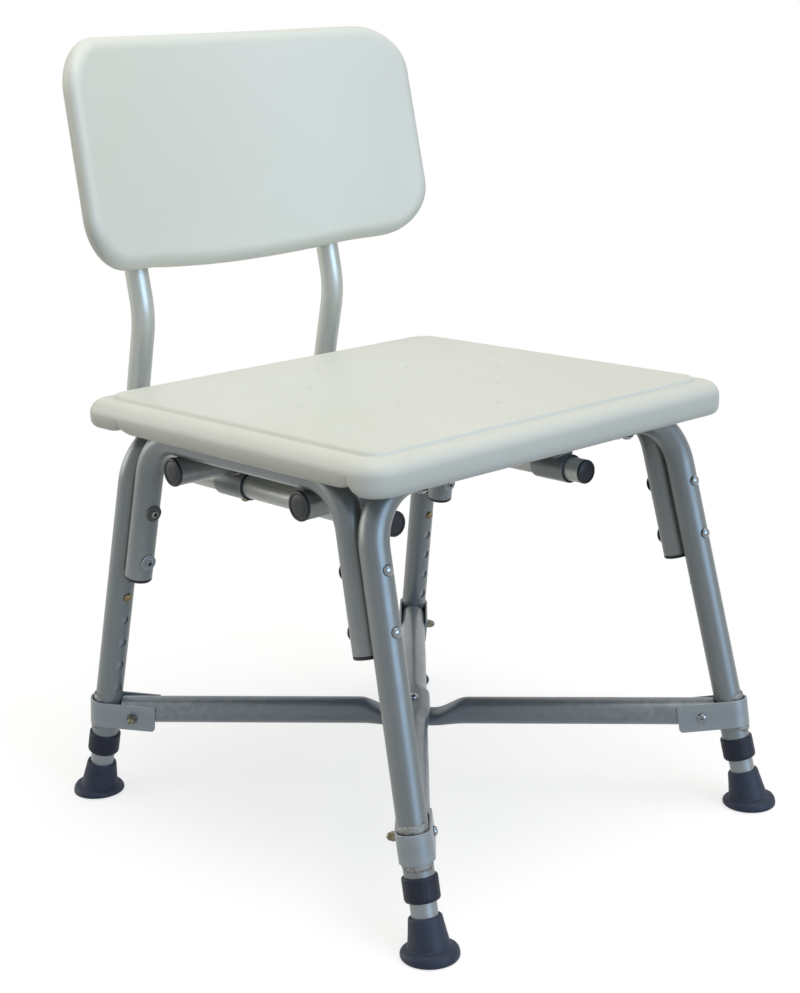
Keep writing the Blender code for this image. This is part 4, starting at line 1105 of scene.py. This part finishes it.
# Seat panel and its screws

frontCusp = seat["frontNotch"] - seat["depth"] / 2
rearCusp = seat["depth"] / 2 - seat["rearNotch"]


def lobe(away):
    share = min(1.0, max(0.0, away / seat["notchWidth"]))
    return 1 - math.sqrt(1 - (1 - share) ** 2)


def skirtLift(y):
    # how much higher than its lowest edge the skirt ends, along the seat's sides
    peak = seat["notch"] + seat["rise"]
    if y < frontCusp:
        return peak * lobe(frontCusp - y)
    return seat["rise"] + seat["notch"] * max(lobe(y - frontCusp), lobe(abs(rearCusp - y)))


def seatLoop(inset):
    # a rounded rectangle with stops close together round the skirt's cusps
    halfX = seat["width"] / 2 - inset
    straight = seat["depth"] / 2 - seat["corner"]
    radius = max(seat["corner"] - inset, seat["leastCorner"])
    if inset > seat["raisedFrom"]:
        radius = seat["raisedCorner"]
    stops = {round(cusp + sign * away, 6) for cusp in (frontCusp, rearCusp)
             for away in seat["cuspStops"] for sign in (-1, 1)}
    stops = sorted(stop for stop in stops | seat["sideStops"] if abs(stop) < straight - 0.0004)
    edgeY = seat["depth"] / 2 - inset
    squeeze = min(1.0, (edgeY - radius) / straight)
    points = []
    for start, right, front in ((-90, 1, -1), (0, 1, 1), (90, -1, 1), (180, -1, -1)):
        points += arc(Vector((right * (halfX - radius), front * (edgeY - radius))), radius, start, 16)
        if start == -90:
            points += [Vector((halfX, stop * squeeze)) for stop in stops]
        elif start == 90:
            points += [Vector((-halfX, stop * squeeze)) for stop in reversed(stops)]
    return points


# each ring of the seat's skin: inset, height, and whether it follows the skirt's lower edge
seatRings = [
    (0.0300, 0.4025, 0), (0.0150, 0.4025, 0), (0.0124, 0.4019, 0), (0.0112, 0.4005, 0),
    (0.0108, 0.0050, 1), (0.0104, 0.0026, 1), (0.0094, 0.0009, 1), (0.0078, 0.0001, 1), (0.0060, 0.0, 1),
    (0.0042, 0.0005, 1), (0.0024, 0.0018, 1), (0.0010, 0.0040, 1), (0.0003, 0.0065, 1), (0.0, 0.0095, 1),
    (0.0, 0.4080, 0), (0.0004, 0.4106, 0), (0.0014, 0.4131, 0), (0.0030, 0.4155, 0), (0.0051, 0.4176, 0),
    (0.0076, 0.4192, 0), (0.0103, 0.4202, 0), (0.0130, 0.4207, 0), (0.0160, 0.4209, 0), (0.0180, 0.4208, 0),
    (0.0188, 0.4206, 0), (0.0194, 0.4204, 0), (0.0198, 0.4207, 0), (0.0200, 0.4215, 0), (0.0202, 0.4228, 0),
    (0.0207, 0.4238, 0), (0.0216, 0.4244, 0), (0.0232, 0.4245, 0), (0.0320, 0.4245, 0)]


# a small steep dish over a narrow hole, as radius and height
drain = [(0.0038, 0.004), (0.0033, 0.0004), (0.0030, -0.0006), (0.0024, -0.0011), (0.0020, -0.0016),
         (0.0018, -0.004), (0.0018, -0.03)]


def makeSeat():
    rings = []
    for inset, height, follows in seatRings:
        base = seat["bottom"] if follows else 0.0
        rings.append([Vector((point.x, point.y, base + height + (skirtLift(point.y) if follows else 0)))
                      for point in seatLoop(inset)])
    tool = bmesh.new()
    for spot in range(8):
        angle = math.radians(45 * spot)
        reach = seat["drainSpread"] if spot % 2 == 0 else seat["drainSpread"] / math.sqrt(2)
        place = Matrix.Translation((reach * math.cos(angle), reach * math.sin(angle), seat["height"]))
        turn(tool, drain, place, 28)
    mesh = carved(loftMesh("seat", rings, sharp=45), meshFrom(tool, "drains"), sharp=45)
    addPiece("seat", mesh, "whitePlastic", "seat_panel")


seatScrew = {"spread": 0.132, "headR": 0.0046, "headHeight": 0.0030, "washerR": 0.0062, "washer": 0.0006,
             "shankR": 0.002, "shank": 0.004}


def makeSeatScrews():
    rim, shank = seatScrew["washerR"], seatScrew["shankR"]
    profile = domeHead(seatScrew, seatScrew["washer"])
    profile += [(rim, seatScrew["washer"] - 0.0001), (rim, 0.0), (shank, 0.0), (shank, -seatScrew["shank"])]
    topY = onLeg("rear_left", legLength).y
    z = legs["topZ"] - fits["tubeR"] + 0.0002
    for corner, (across, along) in corners.items():
        place = frameAt((across * seatScrew["spread"], along * topY, z), (0, 0, -1), (1, 0, 0))
        addPiece("seat_screw_" + corner, turnMesh("seatScrew", profile, place, 28), "chromeSteel")


makeSeat()
makeSeatScrews()
print("seat ready")


# Floor, light and camera

stage = {"size": 30.0, "drop": 0.0004, "rough": 0.9, "bounce": (0.34, 0.34, 0.34, 1),
         "shown": (0.50, 0.50, 0.50, 1), "glow": 0.68}


def makeStage():
    bm = bmesh.new()
    bmesh.ops.create_grid(bm, x_segments=2, y_segments=2, size=stage["size"])
    floorMesh = meshFrom(bm, "floor")
    floor = addObject("floor", floorMesh)
    floor.location = (0, 0, -stage["drop"])
    material, tree, put = newMaterial("paleFloor", 0.0, stage["rough"])
    put["Specular IOR Level"].default_value = 0.0
    shown = shownRays(tree)
    tree.links.new(mixColor(tree, shown, stage["bounce"], stage["shown"]), put["Base Color"])
    tree.links.new(mixColor(tree, shown, (0, 0, 0, 1), (1, 1, 1, 1)), put["Emission Color"])
    put["Emission Strength"].default_value = stage["glow"]
    floorMesh.materials.append(material)


def shownRays(tree):
    # camera, mirror and glass rays meet the white surroundings
    rays = addNode(tree, "ShaderNodeLightPath").outputs
    either = combined(tree, "MAXIMUM", rays["Is Camera Ray"], rays["Is Glossy Ray"])
    return combined(tree, "MAXIMUM", either, rays["Is Transmission Ray"])


light = {"ambient": (0.34, 0.335, 0.315, 1), "suns": (
    ("key", (0.12, -0.33, 1.0), 0.90, (1.0, 0.985, 0.94), 50),
    ("coolFill", (-0.10, -0.99, 0.24), 0.92, (0.44, 0.66, 1.0), 26),
    ("leftFill", (-0.42, 0.88, 0.16), 0.50, (1.0, 0.97, 0.86), 40)), "glints": (
    ("coolGlint", (0.24, -0.94, 0.22), 1.3, (0.50, 0.74, 1.0), 34),
    ("leftGlint", (-0.57, 0.82, 0.15), 1.0, (1.0, 1.0, 0.92), 44)),
    "softBox": {"spot": (-0.30, -0.15, 1.35), "aim": (0.0, 0.05, 0.45), "size": 0.5, "power": 2.4,
                "tint": (1.0, 0.99, 0.96)}}


def addLamp(name, kind, power, tint, toward):
    lamp = bpy.data.lights.new(name, kind)
    lamp.energy = power
    lamp.color = tint
    holder = addObject(name, lamp)
    holder.rotation_euler = Vector(toward).to_track_quat("Z", "Y").to_euler()
    return holder


def makeLight():
    world = bpy.data.worlds.new("studio")
    scene.world = world
    world.use_nodes = True
    tree = world.node_tree
    background = tree.nodes["Background"]
    color = mixColor(tree, shownRays(tree), light["ambient"], (1, 1, 1, 1))
    tree.links.new(color, background.inputs["Color"])
    for group in ("suns", "glints"):
        for name, toward, strength, tint, spread in light[group]:
            holder = addLamp(name, "SUN", strength, tint, toward)
            holder.data.angle = math.radians(spread)
            holder.visible_diffuse = group == "suns"  # glints show in the gloss alone
    box = light["softBox"]
    spot = Vector(box["spot"])
    holder = addLamp("softBox", "AREA", box["power"], box["tint"], spot - Vector(box["aim"]))
    holder.location = spot
    holder.data.size = box["size"]
    holder.visible_camera = False


view = {"spot": (-1.1784, -1.3178, 0.7753), "yaw": 0.726, "pitch": 0.255, "roll": -0.035, "lens": 68.13,
        "farthest": 200}


def makeCamera():
    camera = bpy.data.cameras.new("photoCamera")
    camera.lens = view["lens"]
    camera.clip_end = view["farthest"]
    holder = addObject("photoCamera", camera)
    turned = Matrix.Rotation(-view["yaw"], 4, "Z") @ Matrix.Rotation(math.pi / 2 - view["pitch"], 4, "X")
    place = Matrix.Translation(Vector(view["spot"]) + Vector((0, midY, 0)))
    holder.matrix_world = place @ turned @ Matrix.Rotation(view["roll"], 4, "Z")
    scene.camera = holder


makeStage()
makeLight()
makeCamera()
scene.view_settings.view_transform = "Standard"
bpy.context.view_layer.update()
